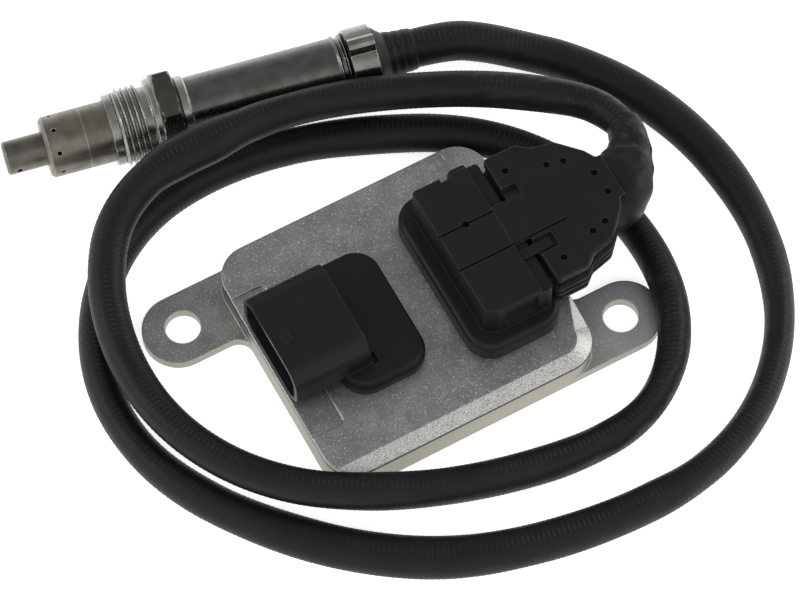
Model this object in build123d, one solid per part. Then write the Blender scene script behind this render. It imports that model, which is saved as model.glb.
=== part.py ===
from build123d import *
import os
from math import cos, pi, radians, sin, tan

# Nitrogen oxide sensor: a control box, its sensor plug, a sleeved cable and a screw-in probe.
# Millimetres, +Z up. The origin is the centre of the control box's underside.

# Fits between pieces
SNUG = 0.05
EASY = 0.2
PASSING = 0.3
RUNNING = 0.06

# Control box, die-cast aluminium
BOX_LENGTH = 74.5
BOX_WIDTH = 68.5
BOX_HEIGHT = 10.6
BOX_CORNER = 8.5
BOX_WALL = 3.4
BOX_ROOF = 2.0
BOX_EDGE = 0.4
BEVEL_RUN = 3.7
BEVEL_DROP = 1.5
BEVEL_FADE = 9.8
DISH_REACH = 9.1
DISH_FRONT = -20.5
DISH_BACK = 22.5
DISH_DEPTH = 0.7
DISH_CORNER = 1.5

# Fixing ears
EAR_REACH_LEFT = 49.9
EAR_REACH_RIGHT = 47.6
EAR_TIP = 1.2
EAR_RADIUS = 9.3
EAR_HOLE = 9.0
EAR_THICKNESS = 3.0
EAR_ROOT = 4.0

# Cover under the box
COVER_THICKNESS = 1.6
COVER_RIM = 1.8
SEAL_THICKNESS = 0.5
SCREW_RADIUS = 1.5
SCREW_HEAD = 2.8
SCREW_LENGTH = 5.5
SCREW_SLOT = 0.8
SCREW_INSET = 8.0
BOSS_RADIUS = 3.2

# Circuit board
BOARD_THICKNESS = 1.6
BOARD_GAP = 0.8
POST_LENGTH = 3.2
POST_RADIUS = 2.6
POST_END_INSET = 13.25
POST_SIDE_INSET = 11.65
BOARD_SCREW = 1.1
BOARD_SCREW_HEAD = 2.2
BOARD_SCREW_HEAD_HEIGHT = 1.2
BOARD_SCREW_REACH = 0.6
CHIP_SIZE = 10.0
CHIP_HEIGHT = 1.4
POWER_CHIP = (6.6, 6.1, 2.3)
CAPACITOR = (7.3, 4.3, 2.9)
PART_PITCH = 10.0
PART_INSET = 9.5
PART_MIDDLE = -4.5

# Vehicle connector, moulded plastic
VC_FRONT = -23.4
VC_BACK = -1.6
VC_MIDDLE = 0.7
VC_HALF = 17.3
VC_CORNER = 6.5
VC_LIP = 2.0
VC_LIP_OUT = 0.5
VC_BODY = 5.0
VC_EDGE = 0.8
SOCKET_MOUTH = -36.8
SOCKET_END = -15.8
SOCKET_FLOOR = -20.6
SOCKET_MIDDLE = 2.2
SOCKET_HALF = 13.9
SOCKET_HEIGHT = 14.9
SOCKET_CORNER = 5.5
SOCKET_WALL = 1.4
KEY_WIDTH = 1.4
KEY_HEIGHT = 1.2
KEY_PLACE = 8.8
RAMP_SETBACK = 1.8
RAMP_LENGTH = 3.4
RAMP_HEIGHT = 0.7
RAMP_HALF = 2.0
RAMP_PLACE = 1.0
PIN_COUNT = 5
PIN_PITCH = 4.0
PIN_WIDTH = 1.2
PIN_THICKNESS = 0.64
PIN_REACH = 11.0
PIN_LEG = -17.5
PIN_TAIL = 1.1
FOOT_MARGIN = 4.0
FOOT_DEPTH = 3.2
GASKET_WIDTH = 1.6
GASKET_DEPTH = 1.0
GASKET_MARGIN = 1.4

# Sensor header, moulded plastic
BASE_FRONT = 7.8
BASE_BACK = 33.3
BASE_HALF = 23.5
BASE_CORNER = 7.0
BASE_HEIGHT = 6.0
BASE_EDGE = 1.5
BLOCK_FRONT = 12.0
BLOCK_BACK = 30.6
BLOCK_HALF = 19.5
BLOCK_HEIGHT = 11.6
BLOCK_CORNER = 1.2
BLOCK_EDGE = 0.5
BLOCK_SIDE_WALL = 2.6
BLOCK_FLOOR = 2.5
BLOCK_ROOF = 3.5
BLOCK_END_WALL = 3.5
CORNER_CUT = 3.2
CORNER_CUT_SIDE = 1.9
PLATE_BACK = 27.2
PLATE_STEP = 1.5
SLIT = 0.5
SLIT_DEPTH = 1.0
TONGUE_SIDE = 5.2
TONGUE_HIGH = 6.4
SMALL_HOLE = 1.8
SMALL_HOLE_SETBACK = 7.6
NOTCH_WIDTH = 2.3
NOTCH_X = 21.0
HUMP_LENGTH = 5.8
HUMP_RADIUS = 1.6
PANEL_MARGIN = 2.2
PANEL_DEPTH = 0.7
LEAD_COUNT = 8
LEAD_PITCH = 3.6
LEAD_LEG = 13.6
LEAD_REACH = 7.5

# Sensor plug and its moulded cover
COVER_GAP = 1.2
COVER_HALF = 18.9
COVER_HANG = 2.2
COVER_PLATE = 2.5
COVER_WAIST = 4.0
COVER_WAIST_INSET = 1.2
COVER_WALL = 1.3
COVER_FLOOR = 2.3
COVER_EDGE = 0.6
COVER_RIB = 0.5
COVER_RIB_COUNT = 2
SHOULDER_X = 40.8
DIP_X = 43.8
DIP_Y = 16.4
ELBOW_X = 50.0
ELBOW_Y = 14.9
WAIST_X = 55.4
WAIST_Y = 9.2
NECK_RADIUS = 6.35
NECK_END = 59.5
NECK_START = 53.0
NECK_MEETS = 57.0
NECK_EDGE = 1.0
NECK_BORE_START = 49.0
NECK_DROP = 7.4
PIT_RADIUS = 0.85
PIT_DEPTH = 1.5
PITS = [
    (35.3, 13.5), (45.1, 10.1), (49.3, 9.0), (54.4, 2.5),
    (36.3, -14.2), (46.1, -11.3), (50.1, -10.4), (54.9, -3.6),
]
WINDOW_LENGTH = 5.2
WINDOW_NEAR = 6.4
WINDOW_FAR = 10.6
CATCH_HALF = 1.3
CATCH_SETBACK = 1.0
STEP_LENGTH = 4.1
STEP_NEAR = 5.3
STEP_FAR = 9.4
SLIT_REACH = 10.6
PLUG_SETBACK = 3.0
PLUG_FRONT = 0.5
TERMINAL_SIZE = 2.4
TERMINAL_LENGTH = 12.0
PLUG_SEAL_START = 8.0
PLUG_SEAL_LENGTH = 3.5
PLUG_SEAL_DEPTH = 0.8
WIRE_RADIUS = 0.8
WIRE_SEAL_LENGTH = 3.0
CABLE_START = 56.0
BUNDLE_PITCH = 2.0
BUNDLE_RISE = 1.1

# Probe: stations run along its axis from the middle of the thread, away from the tip
PROBE_X = -36.87
PROBE_Y = 78.2
PROBE_TURN = -0.2
NUT_FLATS = 22.0
THREAD_RADIUS = 10.0
THREAD_LENGTH = 6.6
THREAD_CHAMFER = 0.8
NUT_NECK = 2.3
NUT_NECK_RADIUS = 8.9
NUT_WASHER = 1.5
NUT_WASHER_RADIUS = 10.4
NUT_HEX = 5.5
SHANK_RADIUS = 7.4
FLANGE_RADIUS = 9.15
FLANGE_LENGTH = 2.0
BODY_BORE = 5.2
SPIGOT_LENGTH = 6.5
TUBE_WALL = 0.7
OUTER_TUBE_RADIUS = 7.9
OUTER_TUBE_LENGTH = 17.0
OUTER_TUBE_NOSE = 0.8
VENT_COUNT = 8
VENT_RADIUS = 0.6
VENT_SETBACK = 2.2
TIP_RADIUS = 4.35
TIP_LENGTH = 10.5
TIP_WALL = 0.5
TIP_HOLE = 1.2
TIP_SLOT_RADIUS = 0.75
COLLAR_LENGTH = 2.6
COLLAR_RADIUS = 9.0
SLEEVE_RADIUS = 8.25
SLEEVE_WALL = 0.8
SLEEVE_LENGTH = 39.0
CRIMP_LENGTH = 3.0
CRIMP_RIDGE = 0.4
BAND_LENGTH = 6.8
BAND_THICKNESS = 0.8
EAR_LOOP_HEIGHT = 1.9
EAR_LOOP_WIDTH = 5.2
EAR_LOOP_ROUND = 0.6
BOOT_RADIUS = 8.6
BOOT_END_RADIUS = 6.3
BOOT_TAIL = 10.5
ELEMENT_WIDTH = 4.2
ELEMENT_THICKNESS = 1.4
ELEMENT_FRONT = -30.0
ELEMENT_BACK = 32.0
CERAMIC_STATIONS = (-5.0, 0.0, 5.0, 14.0)
HOLDER_START = 21.0
HOLDER_LENGTH = 18.0
HOLDER_CAVITY = (9.0, 5.6)
SPRING_WIDTH = 0.8
SPRING_THICKNESS = 0.3
SPRING_COUNT = 4
SPRING_PITCH = 1.1
SPRING_DIP = (5.0, 8.0)
LEAD_CIRCLE = 3.3
CABLE_GRIP = 3.0

# Cable
CABLE_DIAMETER = 10.0
CABLE_LEAD = 7.0

# Levels and edges that follow from the sizes above
COVER_LEVEL = COVER_THICKNESS + SEAL_THICKNESS
ROOF_UNDER = BOX_HEIGHT - BOX_ROOF
BOARD_TOP = ROOF_UNDER - POST_LENGTH
BOARD_LEVEL = BOARD_TOP - BOARD_THICKNESS
POST_X = BOX_LENGTH / 2 - POST_END_INSET
POST_Y = BOX_WIDTH / 2 - POST_SIDE_INSET
EAR_Y = BOX_WIDTH / 2 - EAR_RADIUS
SOCKET_LEVEL = BOX_HEIGHT + SOCKET_HEIGHT / 2
FOOT_BOTTOM = BOX_HEIGHT - FOOT_DEPTH
BLOCK_BOTTOM = BOX_HEIGHT + BASE_HEIGHT
BLOCK_TOP = BLOCK_BOTTOM + BLOCK_HEIGHT
CAVITY_BOTTOM = BLOCK_BOTTOM + BLOCK_FLOOR
CAVITY_TOP = BLOCK_TOP - BLOCK_ROOF
CAVITY_HALF = BLOCK_HALF - BLOCK_SIDE_WALL
CAVITY_FRONT = BLOCK_FRONT + BLOCK_END_WALL
CAVITY_LEVEL = (CAVITY_BOTTOM + CAVITY_TOP) / 2
COVER_FRONT = BLOCK_BACK + COVER_GAP
COVER_TOP = BLOCK_TOP
COVER_BOTTOM = BLOCK_BOTTOM - COVER_HANG
CABLE_LEVEL = COVER_TOP - NECK_DROP
PROBE_Z = NUT_FLATS / 2
NUT_START = -THREAD_LENGTH / 2
NECK_STATION = NUT_START + THREAD_LENGTH
WASHER_STATION = NECK_STATION + NUT_NECK
HEX_STATION = WASHER_STATION + NUT_WASHER
NUT_END = HEX_STATION + NUT_HEX
FLANGE_BACK = NUT_START - PASSING
FLANGE_FRONT = FLANGE_BACK - FLANGE_LENGTH
TUBE_FRONT = FLANGE_FRONT - OUTER_TUBE_LENGTH
COLLAR_FRONT = NUT_END + PASSING
COLLAR_BACK = COLLAR_FRONT + COLLAR_LENGTH
SLEEVE_END = COLLAR_BACK + SLEEVE_LENGTH
CRIMP_END = SLEEVE_END + CRIMP_LENGTH
BAND_FRONT = CRIMP_END + PASSING
BAND_END = BAND_FRONT + BAND_LENGTH
BOOT_END = BAND_END + BOOT_TAIL
CABLE_STATION = BOOT_END - CABLE_GRIP
SLEEVE_BORE = SLEEVE_RADIUS - SLEEVE_WALL
SHANK_END = COLLAR_BACK + 3.0
PROBE_PLACE = Pos(PROBE_X, PROBE_Y, PROBE_Z) * Rot(0, 0, PROBE_TURN * 180 / pi)

# Hand-chosen points of the cable from the plug cover to the probe's boot
CABLE_ROUTE = [
    (CABLE_START, 0.0, CABLE_LEVEL), (CABLE_START + CABLE_LEAD, 0.0, CABLE_LEVEL),
    (69.67, 5.44, 20.8), (71.07, 13.84, 20.3), (66.7, 23.4, 19.9), (56.5, 32.0, 18.65),
    (43.5, 41.4, 17.9), (27.53, 49.4, 17.9), (10.53, 55.9, 18.8), (-7.07, 60.3, 21.2),
    (-24.47, 62.3, 23.3), (-40.87, 60.3, 21.9), (-54.87, 52.1, 18.6), (-63.67, 39.3, 16.2),
    (-68.07, 24.5, 15.0), (-68.67, 9.1, 14.1), (-65.27, -5.5, 13.4), (-57.87, -19.3, 13.0),
    (-47.07, -31.5, 12.8), (-33.67, -40.3, 11.6), (-17.07, -46.3, 7.6), (1.33, -50.5, 5.2),
    (21.13, -53.5, 5.0), (38.53, -52.3, 5.3), (51.33, -44.1, 6.8), (58.93, -31.9, 8.1),
    (62.33, -17.7, 7.9), (61.93, -1.5, 5.6), (57.33, 14.5, 5.0), (47.93, 28.9, 5.0),
    (35.13, 40.1, 5.0), (18.93, 48.7, 5.0), (-0.07, 55.7, 5.0), (-20.47, 59.5, 5.0),
    (-40.47, 57.9, 5.0), (-57.07, 49.7, 5.0), (-69.47, 35.7, 5.0), (-76.07, 17.9, 5.0),
    (-75.47, -1.1, 5.0), (-68.47, -18.3, 5.0), (-56.67, -34.9, 5.0), (-40.87, -50.3, 5.0),
    (-21.47, -62.7, 5.0), (0.93, -70.1, 5.0), (24.13, -73.5, 5.0), (45.53, -72.3, 5.0),
    (64.13, -64.5, 5.0), (78.73, -50.9, 5.0), (87.93, -33.5, 5.0), (91.33, -13.5, 5.0),
    (89.73, 7.5, 5.0), (82.73, 27.5, 5.0), (71.73, 43.7, 5.0), (62.93, 51.5, 6.4),
    (54.63, 57.7, 9.2), (45.46, 61.51, 11.0), (33.79, 63.88, 11.0),
]


def slab(x0, x1, y0, y1, z0, z1, corner=0.0):
    """An upright block between two opposite corners, its vertical edges rounded."""
    width, depth = x1 - x0, y1 - y0
    face = RectangleRounded(width, depth, corner) if corner else Rectangle(width, depth)
    return extrude(Pos((x0 + x1) / 2, (y0 + y1) / 2, z0) * face, z1 - z0)


def rod(x, y, z0, z1, radius):
    """An upright cylinder between two levels."""
    return extrude(Pos(x, y, z0) * Circle(radius), z1 - z0)


def lengthwise(x0, x1, level, half, height, corner, y=0.0):
    """A rounded bar that lies along X between two stations."""
    plane = Plane(origin=(x0, y, level), x_dir=(0, 1, 0), z_dir=(1, 0, 0))
    face = RectangleRounded(2 * half, height, corner) if corner else Rectangle(2 * half, height)
    return extrude(plane * face, x1 - x0)


def turned(*stations):
    """A solid turned about the probe's axis from (station, radius) points."""
    return PROBE_PLACE * revolve(make_face(Plane.XZ * Polyline(*stations, close=True)), Axis.X)


def tube(start, end, outer, bore):
    """A plain ring or tube about the probe's axis."""
    return turned((start, bore), (end, bore), (end, outer), (start, outer))


def along_probe(start, end, width, height, y=0.0, z=0.0):
    """A rectangular bar that lies along the probe's axis."""
    plane = Plane(origin=(start, y, z), x_dir=(0, 1, 0), z_dir=(1, 0, 0))
    return PROBE_PLACE * extrude(plane * Rectangle(width, height), end - start)


def top_edges(solid, level):
    """The edges of a solid that lie in one level."""
    return solid.edges().filter_by_position(Axis.Z, level - 0.01, level + 0.01)


def box_outline(inset=0.0):
    """The control box's outline in plan, drawn in by an inset."""
    corner = BOX_CORNER - inset
    return RectangleRounded(BOX_LENGTH - 2 * inset, BOX_WIDTH - 2 * inset, corner)


def ear_places():
    """The two fixing holes, at opposite corners of the box."""
    return [(-EAR_REACH_LEFT, EAR_Y), (EAR_REACH_RIGHT, -EAR_Y)]


def screw_places():
    """The four cover screws, one in each corner of the box."""
    x, y = BOX_LENGTH / 2 - SCREW_INSET, BOX_WIDTH / 2 - SCREW_INSET
    return [(x, y), (-x, y), (-x, -y), (x, -y)]


def post_places():
    """The board's four posts under the roof."""
    return [(POST_X, POST_Y), (-POST_X, POST_Y), (-POST_X, -POST_Y), (POST_X, -POST_Y)]


def bevelled_body():
    """The box's block: a bevel along its front top edge fades out along the right side."""
    grow = 4 * BOX_CORNER
    block = RectangleRounded(BOX_LENGTH + grow, BOX_WIDTH + grow, BOX_CORNER)
    crown = extrude(Pos(-grow / 2, grow / 2) * block, BOX_HEIGHT)
    roof = crown.faces().sort_by(Axis.Z)[-1]
    crown = chamfer(roof.edges(), BEVEL_RUN, BEVEL_DROP, reference=roof)
    side = BOX_LENGTH / 2
    turn = -BOX_WIDTH / 2 + BOX_CORNER
    front = slab(-BOX_LENGTH, BOX_LENGTH, -BOX_WIDTH, turn, 0, BOX_HEIGHT)
    back = slab(-BOX_LENGTH, BOX_LENGTH, turn, BOX_WIDTH, 0, BOX_HEIGHT)
    inner = Vector(side - BEVEL_RUN, turn, BOX_HEIGHT)
    slope = Vector(BEVEL_RUN, 0, -BEVEL_DROP)
    fade = Vector(BEVEL_RUN, BEVEL_FADE, 0)
    plane = Plane(origin=inner, z_dir=slope.cross(fade))
    body = extrude(box_outline(), BOX_HEIGHT)
    return (body & crown & front) + split(body & back, bisect_by=plane, keep=Keep.BOTTOM)


def ears():
    """Two flat ears flush with the underside, blended into the box's sides in plan."""
    plan = box_outline()
    for x, y in ear_places():
        tip = x + EAR_TIP * x / abs(x)
        plan += Pos(tip, y) * Circle(EAR_RADIUS)
        plan += Pos(tip / 2, y) * Rectangle(abs(tip), 2 * EAR_RADIUS)
    inner = EAR_Y - EAR_RADIUS
    side = BOX_LENGTH / 2
    roots = [v for v in plan.vertices() if abs(abs(v.X) - side) < 0.01 and abs(abs(v.Y) - inner) < 0.01]
    plate = extrude(fillet(roots, EAR_ROOT), EAR_THICKNESS)
    for x, y in ear_places():
        plate -= rod(x, y, 0, EAR_THICKNESS, EAR_HOLE / 2)
    return plate


def foot_of_connector(spread=0.0):
    """The part of the vehicle connector that passes through the roof."""
    return slab(
        VC_FRONT + FOOT_MARGIN - spread, VC_BACK - FOOT_MARGIN + spread,
        VC_MIDDLE - VC_HALF + FOOT_MARGIN - spread, VC_MIDDLE + VC_HALF - FOOT_MARGIN + spread,
        FOOT_BOTTOM, BOX_HEIGHT, VC_CORNER - FOOT_MARGIN + spread,
    )


def foot_of_header(spread=0.0):
    """The part of the sensor header that passes through the roof."""
    return slab(
        BASE_FRONT + FOOT_MARGIN - spread, BASE_BACK - FOOT_MARGIN + spread,
        -BASE_HALF + FOOT_MARGIN - spread, BASE_HALF - FOOT_MARGIN + spread,
        FOOT_BOTTOM, BOX_HEIGHT, BASE_CORNER - FOOT_MARGIN + spread,
    )


def ecu_housing():
    """The die-cast box: open below, with bosses, posts, ears and two roof openings."""
    body = bevelled_body() + ears()
    body -= extrude(box_outline(COVER_RIM), COVER_LEVEL)
    body -= extrude(Pos(0, 0, COVER_LEVEL) * box_outline(BOX_WALL), ROOF_UNDER - COVER_LEVEL)
    for x, y in screw_places():
        body += rod(x, y, COVER_THICKNESS, ROOF_UNDER, BOSS_RADIUS)
        body -= rod(x, y, COVER_THICKNESS, COVER_THICKNESS + SCREW_LENGTH, SCREW_RADIUS + SNUG)
    for x, y in post_places():
        body += rod(x, y, BOARD_TOP, ROOF_UNDER, POST_RADIUS)
        body -= rod(x, y, BOARD_TOP, ROOF_UNDER, BOARD_SCREW + SNUG)
    dish = slab(
        -BOX_LENGTH, -BOX_LENGTH / 2 + DISH_REACH, DISH_FRONT, DISH_BACK,
        BOX_HEIGHT - DISH_DEPTH, BOX_HEIGHT + BOX_EDGE, DISH_CORNER,
    )
    body -= dish
    body -= foot_of_connector(EASY)
    body -= foot_of_header(EASY)
    return body


def base_plate():
    """The flat cover that closes the box from below, countersunk for its screws."""
    plate = extrude(box_outline(COVER_RIM + EASY), COVER_THICKNESS)
    for x, y in screw_places():
        plate -= countersink(x, y, SNUG)
    return plate


def countersink(x, y, spread=0.0):
    """A screw's cone head in the cover and the shank below it."""
    head = SCREW_HEAD + spread
    shank = SCREW_RADIUS + spread
    profile = Polyline(
        (0, 0), (head, 0), (shank, COVER_THICKNESS), (0, COVER_THICKNESS), close=True
    )
    return Pos(x, y, 0) * revolve(make_face(Plane.XZ * profile), Axis.Z)


def housing_seal():
    """The flat gasket between the cover and the box's inner ledge."""
    ring = box_outline(COVER_RIM + EASY) - box_outline(BOX_WALL)
    return extrude(Pos(0, 0, COVER_THICKNESS) * ring, SEAL_THICKNESS)


def cover_screws():
    """Four countersunk screws, slotted, flush with the cover's underside."""
    screws = []
    for x, y in screw_places():
        screw = countersink(x, y)
        screw += rod(x, y, COVER_THICKNESS, COVER_THICKNESS + SCREW_LENGTH - PASSING, SCREW_RADIUS)
        screw -= slab(
            x - SCREW_HEAD, x + SCREW_HEAD, y - SCREW_SLOT / 2, y + SCREW_SLOT / 2,
            0, SCREW_SLOT,
        )
        screws.append(screw.solid())
    return Compound(screws)


def circuit_board():
    """The board, notched round the screw bosses and drilled for pins and screws."""
    inset = BOX_WALL + BOARD_GAP
    board = extrude(Pos(0, 0, BOARD_LEVEL) * box_outline(inset), BOARD_THICKNESS)
    for x, y in screw_places():
        board -= rod(x, y, BOARD_LEVEL, BOARD_TOP, BOSS_RADIUS + BOARD_GAP)
    for x, y in post_places():
        board -= rod(x, y, BOARD_LEVEL, BOARD_TOP, BOARD_SCREW + SNUG)
    for y in pin_rows():
        board -= pin_leg(PIN_LEG, y, SNUG)
    for y in lead_rows():
        board -= pin_leg(LEAD_LEG, y, SNUG)
    return board


def board_screws():
    """Four screws that hold the board up against its posts."""
    screws = []
    for x, y in post_places():
        head = rod(
            x, y, BOARD_LEVEL - BOARD_SCREW_HEAD_HEIGHT, BOARD_LEVEL, BOARD_SCREW_HEAD
        )
        shank = rod(x, y, BOARD_LEVEL, ROOF_UNDER - BOARD_SCREW_REACH, BOARD_SCREW)
        screws.append((head + shank).solid())
    return Compound(screws)


def board_part(x, y, length, width, height):
    """A component that sits on the board's upper face."""
    return slab(
        x - length / 2, x + length / 2, y - width / 2, y + width / 2,
        BOARD_TOP, BOARD_TOP + height,
    )


def processor_chip():
    """The flat processor between the two connectors, its top edges broken."""
    height = min(CHIP_HEIGHT, FOOT_BOTTOM - BOARD_TOP - PASSING)
    return board_part(2.0, 0.0, CHIP_SIZE, CHIP_SIZE, height)


def power_chips():
    """Three heater and supply chips in a row along the board's front edge."""
    length, width, height = POWER_CHIP
    y = -BOX_WIDTH / 2 + PART_INSET
    return Compound([board_part(x, y, length, width, height).solid() for x in part_rows()])


def capacitors():
    """Three chip capacitors in a row along the board's back edge."""
    length, width, height = CAPACITOR
    y = BOX_WIDTH / 2 - PART_INSET
    return Compound([board_part(x, y, length, width, height).solid() for x in part_rows()])


def part_rows():
    """Where the three components of a row stand along the board."""
    return [PART_MIDDLE + PART_PITCH * i for i in (-1, 0, 1)]


def pin_rows():
    """The vehicle connector's pins, spread evenly across the socket."""
    return [SOCKET_MIDDLE + PIN_PITCH * (i - (PIN_COUNT - 1) / 2) for i in range(PIN_COUNT)]


def lead_rows():
    """The sensor header's pins, spread evenly across the block."""
    return [LEAD_PITCH * (i - (LEAD_COUNT - 1) / 2) for i in range(LEAD_COUNT)]


def pin_leg(x, y, spread=0.0, top=None):
    """The upright leg of a pin, from below the board up to a level."""
    top = BOARD_TOP + PASSING if top is None else top
    return slab(
        x - PIN_THICKNESS / 2 - spread, x + PIN_THICKNESS / 2 + spread,
        y - PIN_WIDTH / 2 - spread, y + PIN_WIDTH / 2 + spread,
        BOARD_LEVEL - PIN_TAIL, top,
    )


def bent_pin(leg, tip, y, level):
    """A blade that lies along X at one level and turns down to the board."""
    top = level + PIN_THICKNESS / 2
    blade = slab(
        min(leg - PIN_THICKNESS / 2, tip), max(leg + PIN_THICKNESS / 2, tip),
        y - PIN_WIDTH / 2, y + PIN_WIDTH / 2, level - PIN_THICKNESS / 2, top,
    )
    return blade + pin_leg(leg, y, top=top)


def connector_pins():
    """Five bent pins moulded into the vehicle connector."""
    tip = SOCKET_FLOOR - PIN_REACH
    return Compound([bent_pin(PIN_LEG, tip, y, SOCKET_LEVEL).solid() for y in pin_rows()])


def header_pins():
    """Eight bent pins moulded into the sensor header."""
    tip = CAVITY_FRONT + LEAD_REACH
    return Compound([bent_pin(LEAD_LEG, tip, y, CAVITY_LEVEL).solid() for y in lead_rows()])


def ring_gasket(x0, x1, middle, half, corner):
    """A flat rectangular gasket that fills the groove under a flange."""
    top = BOX_HEIGHT + GASKET_DEPTH
    w = GASKET_WIDTH
    outer = slab(x0, x1, middle - half, middle + half, BOX_HEIGHT, top, corner)
    return outer - slab(
        x0 + w, x1 - w, middle - half + w, middle + half - w, BOX_HEIGHT, top, corner - w
    )


def connector_seal():
    """The gasket under the vehicle connector's flange."""
    m = GASKET_MARGIN
    return ring_gasket(VC_FRONT + m, VC_BACK - m, VC_MIDDLE, VC_HALF - m, VC_CORNER - m)


def header_seal():
    """The gasket under the sensor header's flange."""
    m = GASKET_MARGIN
    return ring_gasket(BASE_FRONT + m, BASE_BACK - m, 0, BASE_HALF - m, BASE_CORNER - m)


def socket_shell():
    """The socket's rounded block, its closed end softened."""
    shell = lengthwise(
        SOCKET_MOUTH, SOCKET_END, SOCKET_LEVEL, SOCKET_HALF, SOCKET_HEIGHT, SOCKET_CORNER,
        SOCKET_MIDDLE,
    )
    return fillet(shell.faces().sort_by(Axis.X)[-1].edges(), VC_EDGE)


def socket_cavity():
    """The space that a cable plug enters, with two keyways' ribs left standing."""
    cavity = lengthwise(
        SOCKET_MOUTH, SOCKET_FLOOR, SOCKET_LEVEL, SOCKET_HALF - SOCKET_WALL,
        SOCKET_HEIGHT - 2 * SOCKET_WALL, SOCKET_CORNER - SOCKET_WALL, SOCKET_MIDDLE,
    )
    top = SOCKET_LEVEL + SOCKET_HEIGHT / 2 - SOCKET_WALL
    for y in (SOCKET_MIDDLE - KEY_PLACE, SOCKET_MIDDLE + KEY_PLACE):
        cavity -= slab(
            SOCKET_MOUTH + KEY_WIDTH, SOCKET_FLOOR, y - KEY_WIDTH / 2, y + KEY_WIDTH / 2,
            top - KEY_HEIGHT, top + SOCKET_WALL,
        )
    return cavity


def latch_ramp():
    """The small wedge on the socket that a cable plug's latch rides over."""
    top = BOX_HEIGHT + SOCKET_HEIGHT
    start = SOCKET_MOUTH + RAMP_SETBACK
    end = start + RAMP_LENGTH
    wedge = Polyline((start, top), (end, top), (end, top + RAMP_HEIGHT), close=True)
    return extrude(Pos(0, RAMP_PLACE, 0) * make_face(Plane.XZ * wedge), RAMP_HALF, both=True)


def vehicle_connector():
    """The left-hand moulding: flange, low body and an open five-pin socket."""
    top = BOX_HEIGHT + VC_BODY
    low, high = VC_MIDDLE - VC_HALF, VC_MIDDLE + VC_HALF
    lip = slab(
        VC_FRONT - VC_LIP_OUT, VC_BACK + VC_LIP_OUT, low - VC_LIP_OUT, high + VC_LIP_OUT,
        BOX_HEIGHT, BOX_HEIGHT + VC_LIP, VC_CORNER + VC_LIP_OUT,
    )
    body = slab(VC_FRONT, VC_BACK, low, high, BOX_HEIGHT, top, VC_CORNER)
    body = fillet(top_edges(body, top), VC_EDGE)
    part = lip + body + socket_shell() + foot_of_connector() + latch_ramp()
    part -= socket_cavity()
    side = SOCKET_MIDDLE - SOCKET_HALF
    part -= slab(
        SOCKET_END + PASSING, SOCKET_END + PASSING + KEY_WIDTH, side - PASSING,
        side + KEY_WIDTH * 2, top - KEY_HEIGHT, top + KEY_HEIGHT,
    )
    part -= connector_seal()
    part -= connector_pins()
    return part


def header_block():
    """The block that stands on the header's base, with its slits, hump and side panel."""
    block = slab(
        BLOCK_FRONT, BLOCK_BACK, -BLOCK_HALF, BLOCK_HALF, BLOCK_BOTTOM - BASE_EDGE,
        BLOCK_TOP, BLOCK_CORNER,
    )
    near_corner = Polyline(
        (BLOCK_FRONT, -BLOCK_HALF), (BLOCK_FRONT + CORNER_CUT, -BLOCK_HALF),
        (BLOCK_FRONT, -BLOCK_HALF + CORNER_CUT_SIDE), close=True,
    )
    block -= extrude(Pos(0, 0, BLOCK_BOTTOM) * make_face(near_corner), BLOCK_HEIGHT)
    block = fillet(top_edges(block, BLOCK_TOP), BLOCK_EDGE)
    hump = rod(0, 0, 0, BLOCK_HEIGHT - BLOCK_EDGE, HUMP_RADIUS)
    x0 = NOTCH_X + NOTCH_WIDTH / 2 + HUMP_RADIUS
    for x in (x0, x0 + HUMP_LENGTH - 2 * HUMP_RADIUS):
        block += Pos(x, BLOCK_HALF - HUMP_RADIUS / 2, BLOCK_BOTTOM) * hump
    block += slab(
        x0, x0 + HUMP_LENGTH - 2 * HUMP_RADIUS, BLOCK_HALF - HUMP_RADIUS,
        BLOCK_HALF + HUMP_RADIUS / 2, BLOCK_BOTTOM, BLOCK_TOP - BLOCK_EDGE,
    )
    return block


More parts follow.
